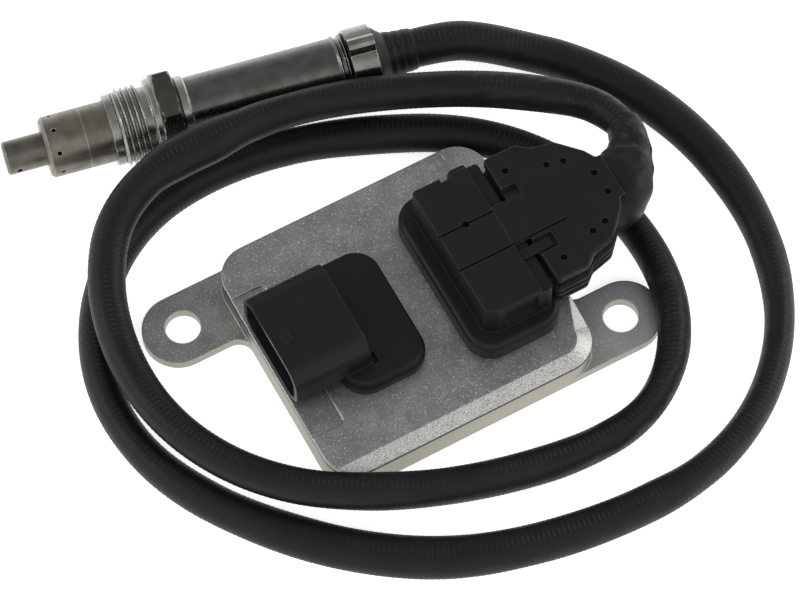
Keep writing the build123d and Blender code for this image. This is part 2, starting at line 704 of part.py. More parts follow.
def sensor_header():
    """The right-hand moulding: a rounded base and the block that takes the plug."""
    base = slab(
        BASE_FRONT, BASE_BACK, -BASE_HALF, BASE_HALF, BOX_HEIGHT, BLOCK_BOTTOM, BASE_CORNER
    )
    base = fillet(top_edges(base, BLOCK_BOTTOM), BASE_EDGE)
    part = base + header_block() + foot_of_header()
    part -= lengthwise(
        CAVITY_FRONT, BLOCK_BACK + BLOCK_EDGE, CAVITY_LEVEL, CAVITY_HALF,
        CAVITY_TOP - CAVITY_BOTTOM, 0,
    )
    for y in (-TONGUE_SIDE, TONGUE_SIDE):
        part -= slab(
            BLOCK_FRONT - BLOCK_EDGE, BLOCK_BACK + BLOCK_EDGE, y - SLIT / 2, y + SLIT / 2,
            BLOCK_TOP - SLIT_DEPTH, BLOCK_TOP,
        )
    part -= rod(
        BLOCK_FRONT + SMALL_HOLE_SETBACK, TONGUE_SIDE, BLOCK_TOP - 2 * SLIT_DEPTH, BLOCK_TOP,
        SMALL_HOLE / 2,
    )
    part -= slab(
        NOTCH_X - NOTCH_WIDTH / 2, NOTCH_X + NOTCH_WIDTH / 2, BLOCK_HALF - KEY_WIDTH,
        BLOCK_HALF + BLOCK_EDGE, BLOCK_TOP - 2 * KEY_WIDTH, BLOCK_TOP,
    )
    part -= slab(
        BLOCK_FRONT + CORNER_CUT + PANEL_MARGIN, BLOCK_BACK - 2 * PANEL_MARGIN,
        -BLOCK_HALF - PANEL_DEPTH, -BLOCK_HALF + PANEL_DEPTH,
        BLOCK_BOTTOM + PANEL_MARGIN, BLOCK_TOP - PANEL_MARGIN,
    )
    part -= slab(
        PLATE_BACK, BLOCK_BACK + BLOCK_EDGE, -BASE_HALF, BASE_HALF,
        BLOCK_TOP - PLATE_STEP, BLOCK_TOP,
    )
    part -= header_seal()
    part -= header_pins()
    return part


def cover_outline(inset=0.0):
    """The plug cover's outline in plan, drawn in by an inset, with rounded corners."""
    half = [
        (COVER_FRONT + inset, COVER_HALF - inset, COVER_EDGE * 2),
        (SHOULDER_X - inset * 0.3, COVER_HALF - inset, 1.5),
        (DIP_X - inset * 0.7, DIP_Y - inset * 0.9, 2.5),
        (ELBOW_X - inset * 0.5, ELBOW_Y - inset * 0.9, 3.0),
        (WAIST_X - inset * 0.7, WAIST_Y - inset * 0.9, 2.0),
        (NECK_MEETS - inset, NECK_RADIUS - inset, 1.0),
        (NECK_END - NECK_EDGE - inset, NECK_RADIUS - inset, NECK_EDGE / 2),
    ]
    loop = half + [(x, -y, r) for x, y, r in reversed(half)]
    points = [(x, y) for x, y, r in loop]
    return make_face(FilletPolyline(*points, radius=[r for x, y, r in loop], close=True))


def cover_shell():
    """The cover's outer form: top plate, waist, lower skirt with ribs, and round neck."""
    waist_top = COVER_TOP - COVER_PLATE
    skirt_top = waist_top - COVER_WAIST
    plate = extrude(Pos(0, 0, waist_top) * cover_outline(), COVER_PLATE)
    plate = fillet(top_edges(plate, COVER_TOP), COVER_EDGE)
    waist = extrude(Pos(0, 0, skirt_top) * cover_outline(COVER_WAIST_INSET), COVER_WAIST)
    skirt = extrude(Pos(0, 0, COVER_BOTTOM) * cover_outline(COVER_RIB), skirt_top - COVER_BOTTOM)
    shell = plate + waist + skirt
    pitch = (skirt_top - COVER_BOTTOM) / (COVER_RIB_COUNT + 1)
    for i in range(COVER_RIB_COUNT + 1):
        level = COVER_BOTTOM + pitch * (i + 0.5)
        shell += extrude(Pos(0, 0, level) * cover_outline(), COVER_RIB * 2)
    neck = Plane(origin=(NECK_START, 0, CABLE_LEVEL), z_dir=(1, 0, 0)) * Circle(NECK_RADIUS)
    shell += extrude(neck, NECK_END - NECK_START)
    return shell


def cover_hollow():
    """The room inside the cover for the plug body and its wires."""
    inset = COVER_WAIST_INSET + COVER_WALL
    room = Pos(0, 0, COVER_BOTTOM + COVER_FLOOR) * cover_outline(inset)
    top = COVER_TOP - COVER_PLATE
    hollow = extrude(room, top - COVER_BOTTOM - COVER_FLOOR)
    hollow &= slab(
        COVER_FRONT - COVER_GAP, CABLE_START - WIRE_SEAL_LENGTH - COVER_WALL, -COVER_HALF,
        COVER_HALF, COVER_BOTTOM, COVER_TOP,
    )
    mouth = COVER_HALF - inset
    hollow += slab(
        COVER_FRONT - COVER_GAP, COVER_FRONT + 2 * inset, -mouth, mouth,
        COVER_BOTTOM + COVER_FLOOR, top,
    )
    return hollow


def plug_cover():
    """The moulded cap over the sensor plug, with moulding pits, window and cable neck."""
    part = cover_shell() - cover_hollow()
    part -= slab(
        COVER_FRONT - COVER_GAP, BASE_BACK + PASSING, -COVER_HALF, COVER_HALF,
        COVER_BOTTOM - COVER_GAP, BLOCK_BOTTOM + PASSING,
    )
    bore = Plane(origin=(NECK_BORE_START, 0, CABLE_LEVEL), z_dir=(1, 0, 0))
    part -= extrude(bore * Circle(CABLE_DIAMETER / 2 + SNUG), NECK_END - NECK_BORE_START)
    for x, y in PITS:
        part -= rod(x, y, COVER_TOP - PIT_DEPTH, COVER_TOP, PIT_RADIUS)
    part -= slab(
        COVER_FRONT - COVER_GAP, COVER_FRONT + WINDOW_LENGTH, -WINDOW_FAR, -WINDOW_NEAR,
        COVER_TOP - COVER_PLATE / 2, COVER_TOP,
    )
    middle = -(WINDOW_FAR + WINDOW_NEAR) / 2
    part += slab(
        PLATE_BACK + PASSING, COVER_FRONT + WINDOW_LENGTH - CATCH_SETBACK, middle - CATCH_HALF,
        middle + CATCH_HALF, COVER_TOP - COVER_PLATE / 2 - SNUG, COVER_TOP - COVER_EDGE,
    )
    part += slab(
        PLATE_BACK + SNUG, COVER_FRONT + COVER_WALL, -TONGUE_SIDE, TONGUE_HIGH,
        COVER_TOP - PLATE_STEP + SNUG, COVER_TOP,
    )
    hollow = Polyline(
        (STEP_NEAR, COVER_TOP), (STEP_FAR, COVER_TOP), (STEP_FAR, COVER_TOP - COVER_PLATE / 2),
        close=True,
    )
    start = Plane(origin=(COVER_FRONT - COVER_GAP, 0, 0), x_dir=(0, 1, 0), z_dir=(1, 0, 0))
    part -= extrude(make_face(start * hollow), COVER_GAP + STEP_LENGTH, dir=(1, 0, 0))
    part -= slab(
        PLATE_BACK, COVER_FRONT + SLIT_REACH, -TONGUE_SIDE - SLIT / 2, -TONGUE_SIDE + SLIT / 2,
        COVER_TOP - SLIT_DEPTH, COVER_TOP,
    )
    return part


def plug_place():
    """The plug body's front face, half width and levels inside header and cover."""
    return (
        CAVITY_FRONT + PLUG_FRONT, CAVITY_HALF - EASY,
        CAVITY_BOTTOM + EASY, min(CAVITY_TOP, COVER_TOP - COVER_PLATE) - EASY,
    )


def plug_body():
    """The block that carries the terminals, from inside the header into the cover."""
    front, half, low, high = plug_place()
    half = min(half, COVER_HALF - COVER_WAIST_INSET - COVER_WALL - SNUG)
    end = SHOULDER_X - PLUG_SETBACK
    body = slab(front, end, -half, half, low, high)
    for y in lead_rows():
        body -= lengthwise(
            front, end, CAVITY_LEVEL, TERMINAL_SIZE / 2 + SNUG,
            TERMINAL_SIZE + 2 * SNUG, 0, y,
        )
    start = front + PLUG_SEAL_START
    ring = slab(start, start + PLUG_SEAL_LENGTH, -half, half, low, high)
    core = slab(
        start, start + PLUG_SEAL_LENGTH, -half + PLUG_SEAL_DEPTH, half - PLUG_SEAL_DEPTH,
        low + PLUG_SEAL_DEPTH, high - PLUG_SEAL_DEPTH,
    )
    return body - (ring - core)


def plug_seal():
    """The rubber ring in the plug body's groove, squeezed against the header."""
    front, half, low, high = plug_place()
    inner = min(half, COVER_HALF - COVER_WAIST_INSET - COVER_WALL - SNUG) - PLUG_SEAL_DEPTH
    start = front + PLUG_SEAL_START + SNUG
    end = start + PLUG_SEAL_LENGTH - 2 * SNUG
    ring = slab(start, end, -CAVITY_HALF, CAVITY_HALF, CAVITY_BOTTOM, CAVITY_TOP)
    return ring - slab(
        start, end, -inner, inner, low + PLUG_SEAL_DEPTH, high - PLUG_SEAL_DEPTH
    )


def plug_terminals():
    """Eight female terminals, each a square sleeve round its pin."""
    front = plug_place()[0]
    rows = []
    for y in lead_rows():
        sleeve = lengthwise(
            front + SNUG, front + TERMINAL_LENGTH, CAVITY_LEVEL, TERMINAL_SIZE / 2,
            TERMINAL_SIZE, 0, y,
        )
        sleeve -= lengthwise(
            front, CAVITY_FRONT + LEAD_REACH + PASSING, CAVITY_LEVEL, PIN_WIDTH / 2 + SNUG,
            PIN_THICKNESS + 2 * SNUG, 0, y,
        )
        rows.append(sleeve.solid())
    return Compound(rows)


def plug_wires():
    """Eight wires that gather from the terminals into the cable's neck."""
    start = plug_place()[0] + TERMINAL_LENGTH
    wires = []
    for i, y in enumerate(lead_rows()):
        column = i // 2 - (LEAD_COUNT / 2 - 1) / 2
        end_y = column * BUNDLE_PITCH
        end_z = CABLE_LEVEL + (BUNDLE_RISE if i % 2 else -BUNDLE_RISE)
        path = FilletPolyline(
            (start, y, CAVITY_LEVEL), (SHOULDER_X + 1.0, y, CAVITY_LEVEL),
            (CABLE_START - WIRE_SEAL_LENGTH - 2.0, end_y, end_z), (CABLE_START, end_y, end_z),
            radius=2.0,
        )
        face = Plane(origin=path @ 0, z_dir=path % 0) * Circle(WIRE_RADIUS)
        wires.append(sweep(face, path=path).solid())
    return Compound(wires)


def wire_seal():
    """The rubber bung in the cover's neck that the wires pass through."""
    start = CABLE_START - WIRE_SEAL_LENGTH
    plane = Plane(origin=(start, 0, CABLE_LEVEL), z_dir=(1, 0, 0))
    bung = extrude(plane * Circle(CABLE_DIAMETER / 2), WIRE_SEAL_LENGTH)
    for i in range(LEAD_COUNT):
        y = (i // 2 - (LEAD_COUNT / 2 - 1) / 2) * BUNDLE_PITCH
        z = BUNDLE_RISE if i % 2 else -BUNDLE_RISE
        hole = Plane(origin=(start, y, CABLE_LEVEL + z), z_dir=(1, 0, 0))
        bung -= extrude(hole * Circle(WIRE_RADIUS), WIRE_SEAL_LENGTH)
    return bung


def corner_radii(route):
    """Each corner's arc: as large as its two runs allow, 0.45 of the shorter one."""
    radii = []
    for a, b, c in zip(route, route[1:], route[2:]):
        before, after = Vector(b) - Vector(a), Vector(c) - Vector(b)
        half_turn = radians(before.get_angle(after)) / 2
        radii.append(0.45 * min(before.length, after.length) / tan(half_turn))
    return radii


def cable_sleeve():
    """The sleeved cable from the plug cover's neck to the probe's boot."""
    radii = corner_radii(CABLE_ROUTE)
    print("cable arc radii, mm:", [round(r) for r in radii])
    path = FilletPolyline(*CABLE_ROUTE, radius=radii)
    face = Plane(origin=path @ 0, z_dir=path % 0) * Circle(CABLE_DIAMETER / 2)
    cable = sweep(face, path=path)
    section = pi * CABLE_DIAMETER**2 / 4
    print("cable length", round(path.length, 1), "volume / section", round(cable.volume / section, 1))
    return cable


def tip_tube():
    """The inner tube whose open tip lets the exhaust gas in."""
    start = TUBE_FRONT - TIP_LENGTH
    seat = FLANGE_FRONT - SPIGOT_LENGTH
    bore = TIP_RADIUS - TIP_WALL
    part = turned(
        (start, TIP_HOLE), (start, TIP_RADIUS - TIP_WALL), (start + TIP_WALL, TIP_RADIUS),
        (seat - TIP_WALL, TIP_RADIUS), (seat - TIP_WALL, OUTER_TUBE_RADIUS - TUBE_WALL - SNUG),
        (seat, OUTER_TUBE_RADIUS - TUBE_WALL - SNUG), (seat, bore), (start + 2 * TIP_WALL, bore),
        (start + 2 * TIP_WALL, TIP_HOLE),
    )
    slot = Plane(origin=(start + 4 * TIP_SLOT_RADIUS, 0, 0), z_dir=(0, 1, 0))
    return part - PROBE_PLACE * extrude(slot * Circle(TIP_SLOT_RADIUS), TIP_RADIUS, both=True)


def outer_tube():
    """The outer protection tube, with a ring of gas vents behind its nose."""
    bore = OUTER_TUBE_RADIUS - TUBE_WALL
    nose = OUTER_TUBE_NOSE
    part = turned(
        (TUBE_FRONT, TIP_RADIUS + SNUG), (TUBE_FRONT, OUTER_TUBE_RADIUS - nose),
        (TUBE_FRONT + nose, OUTER_TUBE_RADIUS), (FLANGE_FRONT, OUTER_TUBE_RADIUS),
        (FLANGE_FRONT, bore), (TUBE_FRONT + nose, bore), (TUBE_FRONT + nose, TIP_RADIUS + SNUG),
    )
    station = TUBE_FRONT + nose + VENT_SETBACK
    for i in range(VENT_COUNT // 2):
        angle = i * 2 * pi / VENT_COUNT
        plane = Plane(origin=(station, 0, 0), z_dir=(0, cos(angle), sin(angle)))
        part -= PROBE_PLACE * extrude(plane * Circle(VENT_RADIUS), 2 * OUTER_TUBE_RADIUS, both=True)
    return part


def probe_body():
    """The turned steel core: spigot, seat flange and the shank the nut turns on."""
    spigot = OUTER_TUBE_RADIUS - TUBE_WALL - SNUG
    seat = FLANGE_FRONT - SPIGOT_LENGTH
    return turned(
        (seat, BODY_BORE), (seat, spigot), (FLANGE_FRONT, spigot),
        (FLANGE_FRONT, FLANGE_RADIUS), (FLANGE_BACK, FLANGE_RADIUS),
        (FLANGE_BACK, SHANK_RADIUS), (SHANK_END, SHANK_RADIUS), (SHANK_END, BODY_BORE),
    )


def union_nut():
    """The hexagon nut with the mounting thread, free to turn on the shank."""
    bore = SHANK_RADIUS + RUNNING
    part = turned(
        (NUT_START, bore), (NUT_START, THREAD_RADIUS - THREAD_CHAMFER),
        (NUT_START + THREAD_CHAMFER, THREAD_RADIUS), (NECK_STATION, THREAD_RADIUS),
        (NECK_STATION, NUT_NECK_RADIUS), (WASHER_STATION, NUT_NECK_RADIUS),
        (WASHER_STATION, NUT_WASHER_RADIUS), (HEX_STATION, NUT_WASHER_RADIUS),
        (HEX_STATION, bore),
    )
    plane = Plane(origin=(HEX_STATION, 0, 0), x_dir=(0, 1, 0), z_dir=(1, 0, 0))
    hexagon = extrude(
        plane * RegularPolygon(NUT_FLATS / 2, 6, major_radius=False), NUT_HEX
    )
    corner = NUT_FLATS / 2 / cos(pi / 6)
    edge = corner - NUT_FLATS / 2
    barrel = turned(
        (HEX_STATION, bore), (HEX_STATION, NUT_FLATS / 2), (HEX_STATION + edge / 2, corner),
        (NUT_END - edge / 2, corner), (NUT_END, NUT_FLATS / 2), (NUT_END, bore),
    )
    return part + (PROBE_PLACE * hexagon & barrel)


def rear_collar():
    """The ring pressed on the shank behind the nut."""
    edge = BOX_EDGE
    return turned(
        (COLLAR_FRONT, SHANK_RADIUS), (COLLAR_FRONT, COLLAR_RADIUS - edge),
        (COLLAR_FRONT + edge, COLLAR_RADIUS), (COLLAR_BACK - edge, COLLAR_RADIUS),
        (COLLAR_BACK, COLLAR_RADIUS - edge), (COLLAR_BACK, SHANK_RADIUS),
    )


def rear_sleeve():
    """The long steel sleeve over the contacts, crimped on the boot with two ridges."""
    r = SLEEVE_RADIUS
    third = CRIMP_LENGTH / 5
    ridge = r + CRIMP_RIDGE
    return turned(
        (COLLAR_BACK, SHANK_RADIUS), (COLLAR_BACK, r), (SLEEVE_END, r),
        (SLEEVE_END + third, ridge), (SLEEVE_END + 2 * third, r - CRIMP_RIDGE),
        (SLEEVE_END + 3 * third, r - CRIMP_RIDGE), (SLEEVE_END + 4 * third, ridge),
        (CRIMP_END, r - CRIMP_RIDGE), (CRIMP_END, SLEEVE_BORE - CRIMP_RIDGE),
        (SLEEVE_END, SLEEVE_BORE - CRIMP_RIDGE), (SLEEVE_END, SLEEVE_BORE),
        (SHANK_END, SLEEVE_BORE), (SHANK_END, SHANK_RADIUS),
    )


def probe_lead_places():
    """Eight wires on a circle round the probe's axis."""
    step = 2 * pi / LEAD_COUNT
    turns = [step * (i + 0.5) for i in range(LEAD_COUNT)]
    return [(LEAD_CIRCLE * cos(a), LEAD_CIRCLE * sin(a)) for a in turns]


def probe_rod(start, end, y, z, radius):
    """A round bar parallel to the probe's axis."""
    plane = Plane(origin=(start, y, z), x_dir=(0, 1, 0), z_dir=(1, 0, 0))
    return PROBE_PLACE * extrude(plane * Circle(radius), end - start)


def cable_grommet():
    """The rubber boot: a plug in the sleeve's end, a collar and a tapered tail."""
    plug = SLEEVE_BORE - SNUG
    waist = plug - CRIMP_RIDGE
    start = HOLDER_START + HOLDER_LENGTH + SNUG
    bore = CABLE_DIAMETER / 2 + SNUG
    part = turned(
        (start, 0), (start, plug), (SLEEVE_END - SNUG, plug), (SLEEVE_END - SNUG, waist),
        (CRIMP_END + SNUG, waist), (CRIMP_END + SNUG, BOOT_RADIUS), (BAND_END, BOOT_RADIUS),
        (BOOT_END, BOOT_END_RADIUS), (BOOT_END, bore), (CABLE_STATION, bore), (CABLE_STATION, 0),
    )
    for y, z in probe_lead_places():
        part -= probe_rod(start, CABLE_STATION, y, z, WIRE_RADIUS)
    return part


def clamp_band():
    """The steel band that squeezes the boot, closed by a pinched ear on top."""
    inner = BOOT_RADIUS
    outer = inner + BAND_THICKNESS
    part = tube(BAND_FRONT, BAND_END, outer, inner)
    foot = EAR_LOOP_WIDTH / 2
    crown = outer + EAR_LOOP_HEIGHT
    low = outer - BAND_THICKNESS / 2
    shoulder = crown - EAR_LOOP_ROUND
    ear = Polyline(
        (foot, low), (foot * 0.6, shoulder), (foot * 0.3, crown), (-foot * 0.3, crown),
        (-foot * 0.6, shoulder), (-foot, low), close=True,
    )
    plane = Plane(origin=(BAND_FRONT, 0, 0), x_dir=(0, 1, 0), z_dir=(1, 0, 0))
    return part + PROBE_PLACE * extrude(make_face(plane * ear), BAND_LENGTH)


def sensing_element():
    """The flat ceramic strip that reads the gas, from the tip to the contacts."""
    return along_probe(ELEMENT_FRONT, ELEMENT_BACK, ELEMENT_WIDTH, ELEMENT_THICKNESS)


def slotted_disc(start, end):
    """A ceramic disc in the body's bore with a slot for the strip."""
    disc = turned((start, 0), (end, 0), (end, BODY_BORE - SNUG), (start, BODY_BORE - SNUG))
    return disc - along_probe(
        start - SNUG, end + SNUG, ELEMENT_WIDTH + 2 * SNUG, ELEMENT_THICKNESS + 2 * SNUG
    )


def front_insulator():
    """The ceramic disc at the hot end."""
    return slotted_disc(CERAMIC_STATIONS[0], CERAMIC_STATIONS[1])


def talc_packing():
    """The pressed powder that seals round the strip."""
    return slotted_disc(CERAMIC_STATIONS[1], CERAMIC_STATIONS[2])


def rear_insulator():
    """The ceramic bush behind the powder."""
    return slotted_disc(CERAMIC_STATIONS[2], CERAMIC_STATIONS[3])


def contact_holder():
    """The ceramic holder that presses the contact springs on the strip."""
    end = HOLDER_START + HOLDER_LENGTH
    radius = SLEEVE_BORE - EASY
    body = turned((HOLDER_START, 0), (end, 0), (end, radius), (HOLDER_START, radius))
    width, height = HOLDER_CAVITY
    body -= along_probe(HOLDER_START - 1.0, end - 1.0, width, height)
    for y, z in probe_lead_places():
        body -= probe_rod(end - 2.0, end + 1.0, y, z, WIRE_RADIUS)
    return body


def contact_springs():
    """Four bowed springs above the strip and four below it."""
    rest = ELEMENT_THICKNESS / 2 + SNUG
    high = HOLDER_CAVITY[1] / 2 - SNUG
    t = SPRING_THICKNESS
    start, end = HOLDER_START + 1.0, HOLDER_START + HOLDER_LENGTH - 2.0
    dip, rise = SPRING_DIP
    bow = [(start, high - t), (start + dip, rest), (start + rise, rest), (end, high - t)]
    back = [(x, z + t) for x, z in reversed(bow)]
    springs = []
    for i in range(SPRING_COUNT):
        y = SPRING_PITCH * (i - (SPRING_COUNT - 1) / 2)
        face = make_face(Plane.XZ * Polyline(*bow, *back, close=True))
        upper = extrude(Pos(0, y, 0) * face, SPRING_WIDTH / 2, both=True)
        springs.append((PROBE_PLACE * upper).solid())
        springs.append((PROBE_PLACE * mirror(upper, Plane.XY)).solid())
    return Compound(springs)


def lead_wires():
    """Eight wires from the contact holder through the boot to the cable."""
    start = HOLDER_START + HOLDER_LENGTH - 1.0
    places = probe_lead_places()
    return Compound([probe_rod(start, CABLE_STATION, y, z, WIRE_RADIUS).solid() for y, z in places])


PIECES = [
    ecu_housing, base_plate, housing_seal, cover_screws, circuit_board, board_screws,
    processor_chip, power_chips, capacitors, vehicle_connector, connector_pins, connector_seal,
    sensor_header, header_seal, header_pins, plug_body, plug_cover, plug_seal, plug_terminals,
    plug_wires, wire_seal, cable_sleeve, tip_tube, outer_tube, probe_body, union_nut,
    rear_collar, rear_sleeve, cable_grommet, clamp_band, sensing_element, front_insulator,
    talc_packing, rear_insulator, contact_holder, contact_springs, lead_wires,
]

os.makedirs("parts", exist_ok=True)
for piece in PIECES:
    export_step(piece(), f"parts/{piece.__name__}.step")
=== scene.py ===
from math import ceil, cos, pi, radians, sin

import bpy
from mathutils import Matrix, Vector


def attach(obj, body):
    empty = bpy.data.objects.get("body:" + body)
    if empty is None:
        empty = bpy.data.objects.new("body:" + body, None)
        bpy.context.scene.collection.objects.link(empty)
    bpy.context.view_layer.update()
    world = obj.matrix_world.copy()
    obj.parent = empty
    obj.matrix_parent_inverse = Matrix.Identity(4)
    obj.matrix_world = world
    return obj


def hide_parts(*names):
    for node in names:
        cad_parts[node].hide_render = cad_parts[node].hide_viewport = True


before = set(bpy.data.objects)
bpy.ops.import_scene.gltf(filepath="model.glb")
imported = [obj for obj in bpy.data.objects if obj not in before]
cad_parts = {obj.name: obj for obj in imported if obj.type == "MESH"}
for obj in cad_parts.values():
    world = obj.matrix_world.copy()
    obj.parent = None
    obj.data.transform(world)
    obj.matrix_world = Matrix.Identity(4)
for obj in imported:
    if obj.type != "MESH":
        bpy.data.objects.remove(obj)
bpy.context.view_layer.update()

bl_info = {
    "name": "Nitrogen oxide sensor",
    "version": (1, 0, 0),
    "blender": (4, 5, 0),
    "location": "3D View > Sidebar > Sensor",
    "description": "Dresses the sensor's frame with its cable, thread and finishes",
    "category": "Object",
}

MM = 0.001

# The probe's place and turn in the frame
PROBE_PLACE = (-36.87 * MM, 78.2 * MM, 11.0 * MM)
PROBE_TURN = -0.2
PROBE = Matrix.Translation(PROBE_PLACE) @ Matrix.Rotation(PROBE_TURN, 4, "Z")

# Stations along the probe's axis, from the middle of the thread
TUBE_SEAM = -12.2 * MM
NUT_FRONT = -3.3 * MM
NUT_NECK = 3.3 * MM
NUT_WASHER = 5.6 * MM
NUT_HEX = 7.1 * MM
NUT_BACK = 12.6 * MM
BAND_END = 64.6 * MM

# The union nut's radii. Its thread runs in over the lead, and starts that much lower
NUT_BORE = 7.46 * MM
THREAD_CREST = 10.0 * MM
THREAD_LEAD = 0.8 * MM
NECK = 8.75 * MM
NECK_ENDS = (8.9 * MM, 8.95 * MM)
NECK_ROUNDING = 0.3 * MM
WASHER = 10.4 * MM
WASHER_CHAMFER = 0.2 * MM
HEX_FLATS = 11.0 * MM
HEX_ENDS = 10.9 * MM
SHARPEST_SMOOTH = radians(28)

# The casting's levels where its dark parting line starts and is full, on each side, and the
# stations over which its top is painted paler towards the right ear, as a painted pool of light
LINE_LOW = (8.1 * MM, 8.2 * MM)
LINE_HIGH = (9.14 * MM, 9.06 * MM)
PAINTED_LIGHT_TOWARDS_EAR = (30 * MM, 44 * MM)

# Points round each piece's section, and steps along it
CABLE_AROUND, STEPS_PER_RIB = 32, 4
NUT_AROUND, STEPS_PER_CREST = 144, 14
CUFF_AROUND, STEPS_PER_SECTION = 56, 8
BOOT_AROUND, BOOT_STEP = 64, 0.25

# The cable's listed points, from the plug cover to the probe's boot
CABLE_ROUTE = [
    (0.056, 0, 0.0208), (0.063, 0, 0.0208), (0.0690, 0.0058, 0.0208),
    (0.0702, 0.01384, 0.0203), (0.0664, 0.0236, 0.0199), (0.0569, 0.0325, 0.0186),
    (0.0438, 0.0419, 0.0179), (0.0278, 0.0499, 0.0179), (0.0107, 0.0561, 0.0188),
    (-0.00707, 0.0588, 0.0212), (-0.02447, 0.0584, 0.0233), (-0.04087, 0.0584, 0.0219),
    (-0.05487, 0.0521, 0.0186), (-0.06367, 0.0393, 0.0162), (-0.06807, 0.0245, 0.015),
    (-0.06867, 0.0091, 0.0141), (-0.06527, -0.0055, 0.0134), (-0.05787, -0.0193, 0.013),
    (-0.0468, -0.0312, 0.0128), (-0.0332, -0.0394, 0.0116), (-0.0168, -0.0454, 0.0076),
    (0.0014, -0.0501, 0.0052), (0.02113, -0.0535, 0.005), (0.0386, -0.0524, 0.0053),
    (0.05133, -0.0441, 0.0068), (0.05893, -0.0319, 0.0081), (0.062, -0.0177, 0.0079),
    (0.06193, -0.0015, 0.0056), (0.05733, 0.0145, 0.005), (0.04793, 0.0289, 0.005),
    (0.03513, 0.0401, 0.005), (0.0188, 0.0485, 0.005), (0, 0.0559, 0.005),
    (-0.02047, 0.0595, 0.005), (-0.04047, 0.0579, 0.005), (-0.05707, 0.0497, 0.005),
    (-0.06947, 0.0357, 0.005), (-0.07607, 0.0179, 0.005), (-0.0753, -0.0011, 0.005),
    (-0.0683, -0.0182, 0.005), (-0.0564, -0.0347, 0.005), (-0.04087, -0.0503, 0.005),
    (-0.0216, -0.0629, 0.005), (0.001, -0.07, 0.005), (0.0241, -0.0731, 0.005),
    (0.04553, -0.0723, 0.005), (0.06413, -0.0645, 0.005), (0.07873, -0.0509, 0.005),
    (0.0877, -0.0334, 0.005), (0.09133, -0.0135, 0.005), (0.08973, 0.0075, 0.005),
    (0.08273, 0.0275, 0.005), (0.07173, 0.0437, 0.005), (0.0627, 0.0512, 0.0064),
    (0.0542, 0.057, 0.0092), (0.04546, 0.06151, 0.011), (0.03379, 0.06388, 0.011),
]

# The camera, fitted to the photograph's view, with its lens and film in millimetres
CAMERA_PLACE = (-0.20757, -0.3759, 0.9065)
CAMERA_AIM = (0.00197, 0.00677, 0.0)
LENS = 180
FILM_WIDTH = 36
CLIP_END = 20

# The floor just under the sensor, and its own light where it is seen
FLOOR_HALF = 2.5
FLOOR_LEVEL = -0.1 * MM
FLOOR_GLOW = 0.76

# Name, place, size in metres, power in watts, and whether gloss shows the lamp
LAMPS = [
    ("lamp_front", (-0.55, -1.15, 1.0), 1.2, 8.0, False),
    ("lamp_right", (1.25, -0.15, 0.75), 0.7, 5.0, True),
    ("lamp_left", (-1.2, 0.5, 0.9), 0.7, 4.0, True),
]

RANGE = "ShaderNodeMapRange"
MIX = "ShaderNodeMix"
MATH = "ShaderNodeMath"
VECTOR_MATH = "ShaderNodeVectorMath"

# How a coat follows its pattern: the values where it starts and is full, and its share there
# The edges' coat is a painted highlight
EDGE_HIGHLIGHT = (0.995, 0.85, 1.0)
BEVEL = (0.97, 0.9, 1.0)
WALL = (0.7, 0.3, 1.0)
# The values between which nearly all of a noise lies
GRAINS = (0.3, 0.7)
# Size in metres over which a lathe's rings stay the same round the axis
RING_SPREAD = 1 / 60


def linear(colour):
    """An sRGB hex colour as linear red, green and blue."""
    parts = [int(colour[i : i + 2], 16) / 255 for i in (1, 3, 5)]
    return [c / 12.92 if c <= 0.04045 else ((c + 0.055) / 1.055) ** 2.4 for c in parts]


def scaled(colour, times):
    """A colour made darker or lighter."""
    return [c * times for c in colour]


class SensorSizes(bpy.types.PropertyGroup):
    """Sizes of the pieces that the scene makes."""

    cable_diameter: bpy.props.FloatProperty(
        name="Cable diameter", description="Across the sleeved cable",
        default=10 * MM, unit="LENGTH",
    )
    cable_length: bpy.props.FloatProperty(
        name="Cable length", description="From the plug cover to the boot",
        default=952 * MM, unit="LENGTH",
    )
    rib_pitch: bpy.props.FloatProperty(
        name="Rib pitch", description="Between two ribs of the cable's sleeve",
        default=1.3 * MM, unit="LENGTH",
    )
    rib_height: bpy.props.FloatProperty(
        name="Rib height", description="How far a rib stands out",
        default=0.03 * MM, unit="LENGTH",
    )
    boot_pitch: bpy.props.FloatProperty(
        name="Boot pitch", description="Between two ribs of the probe's boot",
        default=2.2 * MM, unit="LENGTH",
    )
    boot_height: bpy.props.FloatProperty(
        name="Boot rib height", description="How far a rib of the boot stands out",
        default=0.07 * MM, unit="LENGTH",
    )
    thread_pitch: bpy.props.FloatProperty(
        name="Thread pitch", description="Between two crests of the nut's thread",
        default=1.5 * MM, unit="LENGTH",
    )
    thread_depth: bpy.props.FloatProperty(
        name="Thread depth", description="From crest to root",
        default=0.9 * MM, unit="LENGTH",
    )
    edge_radius: bpy.props.FloatProperty(
        name="Edge radius", description="How soft a sharp edge looks",
        default=0.35 * MM, unit="LENGTH",
    )


class SensorColours(bpy.types.PropertyGroup):
    """Colours of the sensor's finishes."""

    aluminium: bpy.props.FloatVectorProperty(
        name="Cast aluminium", description="The control box",
        default=linear("#a3a8a6"), subtype="COLOR",
    )
    plastic: bpy.props.FloatVectorProperty(
        name="Moulded plastic", description="Connectors and plug cover",
        default=linear("#151718"), subtype="COLOR",
    )
    sleeve: bpy.props.FloatVectorProperty(
        name="Cable sleeve", description="The cable's outer sleeve",
        default=linear("#0e100f"), subtype="COLOR",
    )
    steel: bpy.props.FloatVectorProperty(
        name="Stainless steel", description="The probe's turned parts",
        default=linear("#a19f98"), subtype="COLOR",
    )
    floor: bpy.props.FloatVectorProperty(
        name="Floor", description="The paper that the sensor lies on",
        default=linear("#e9e9e9"), subtype="COLOR",
    )


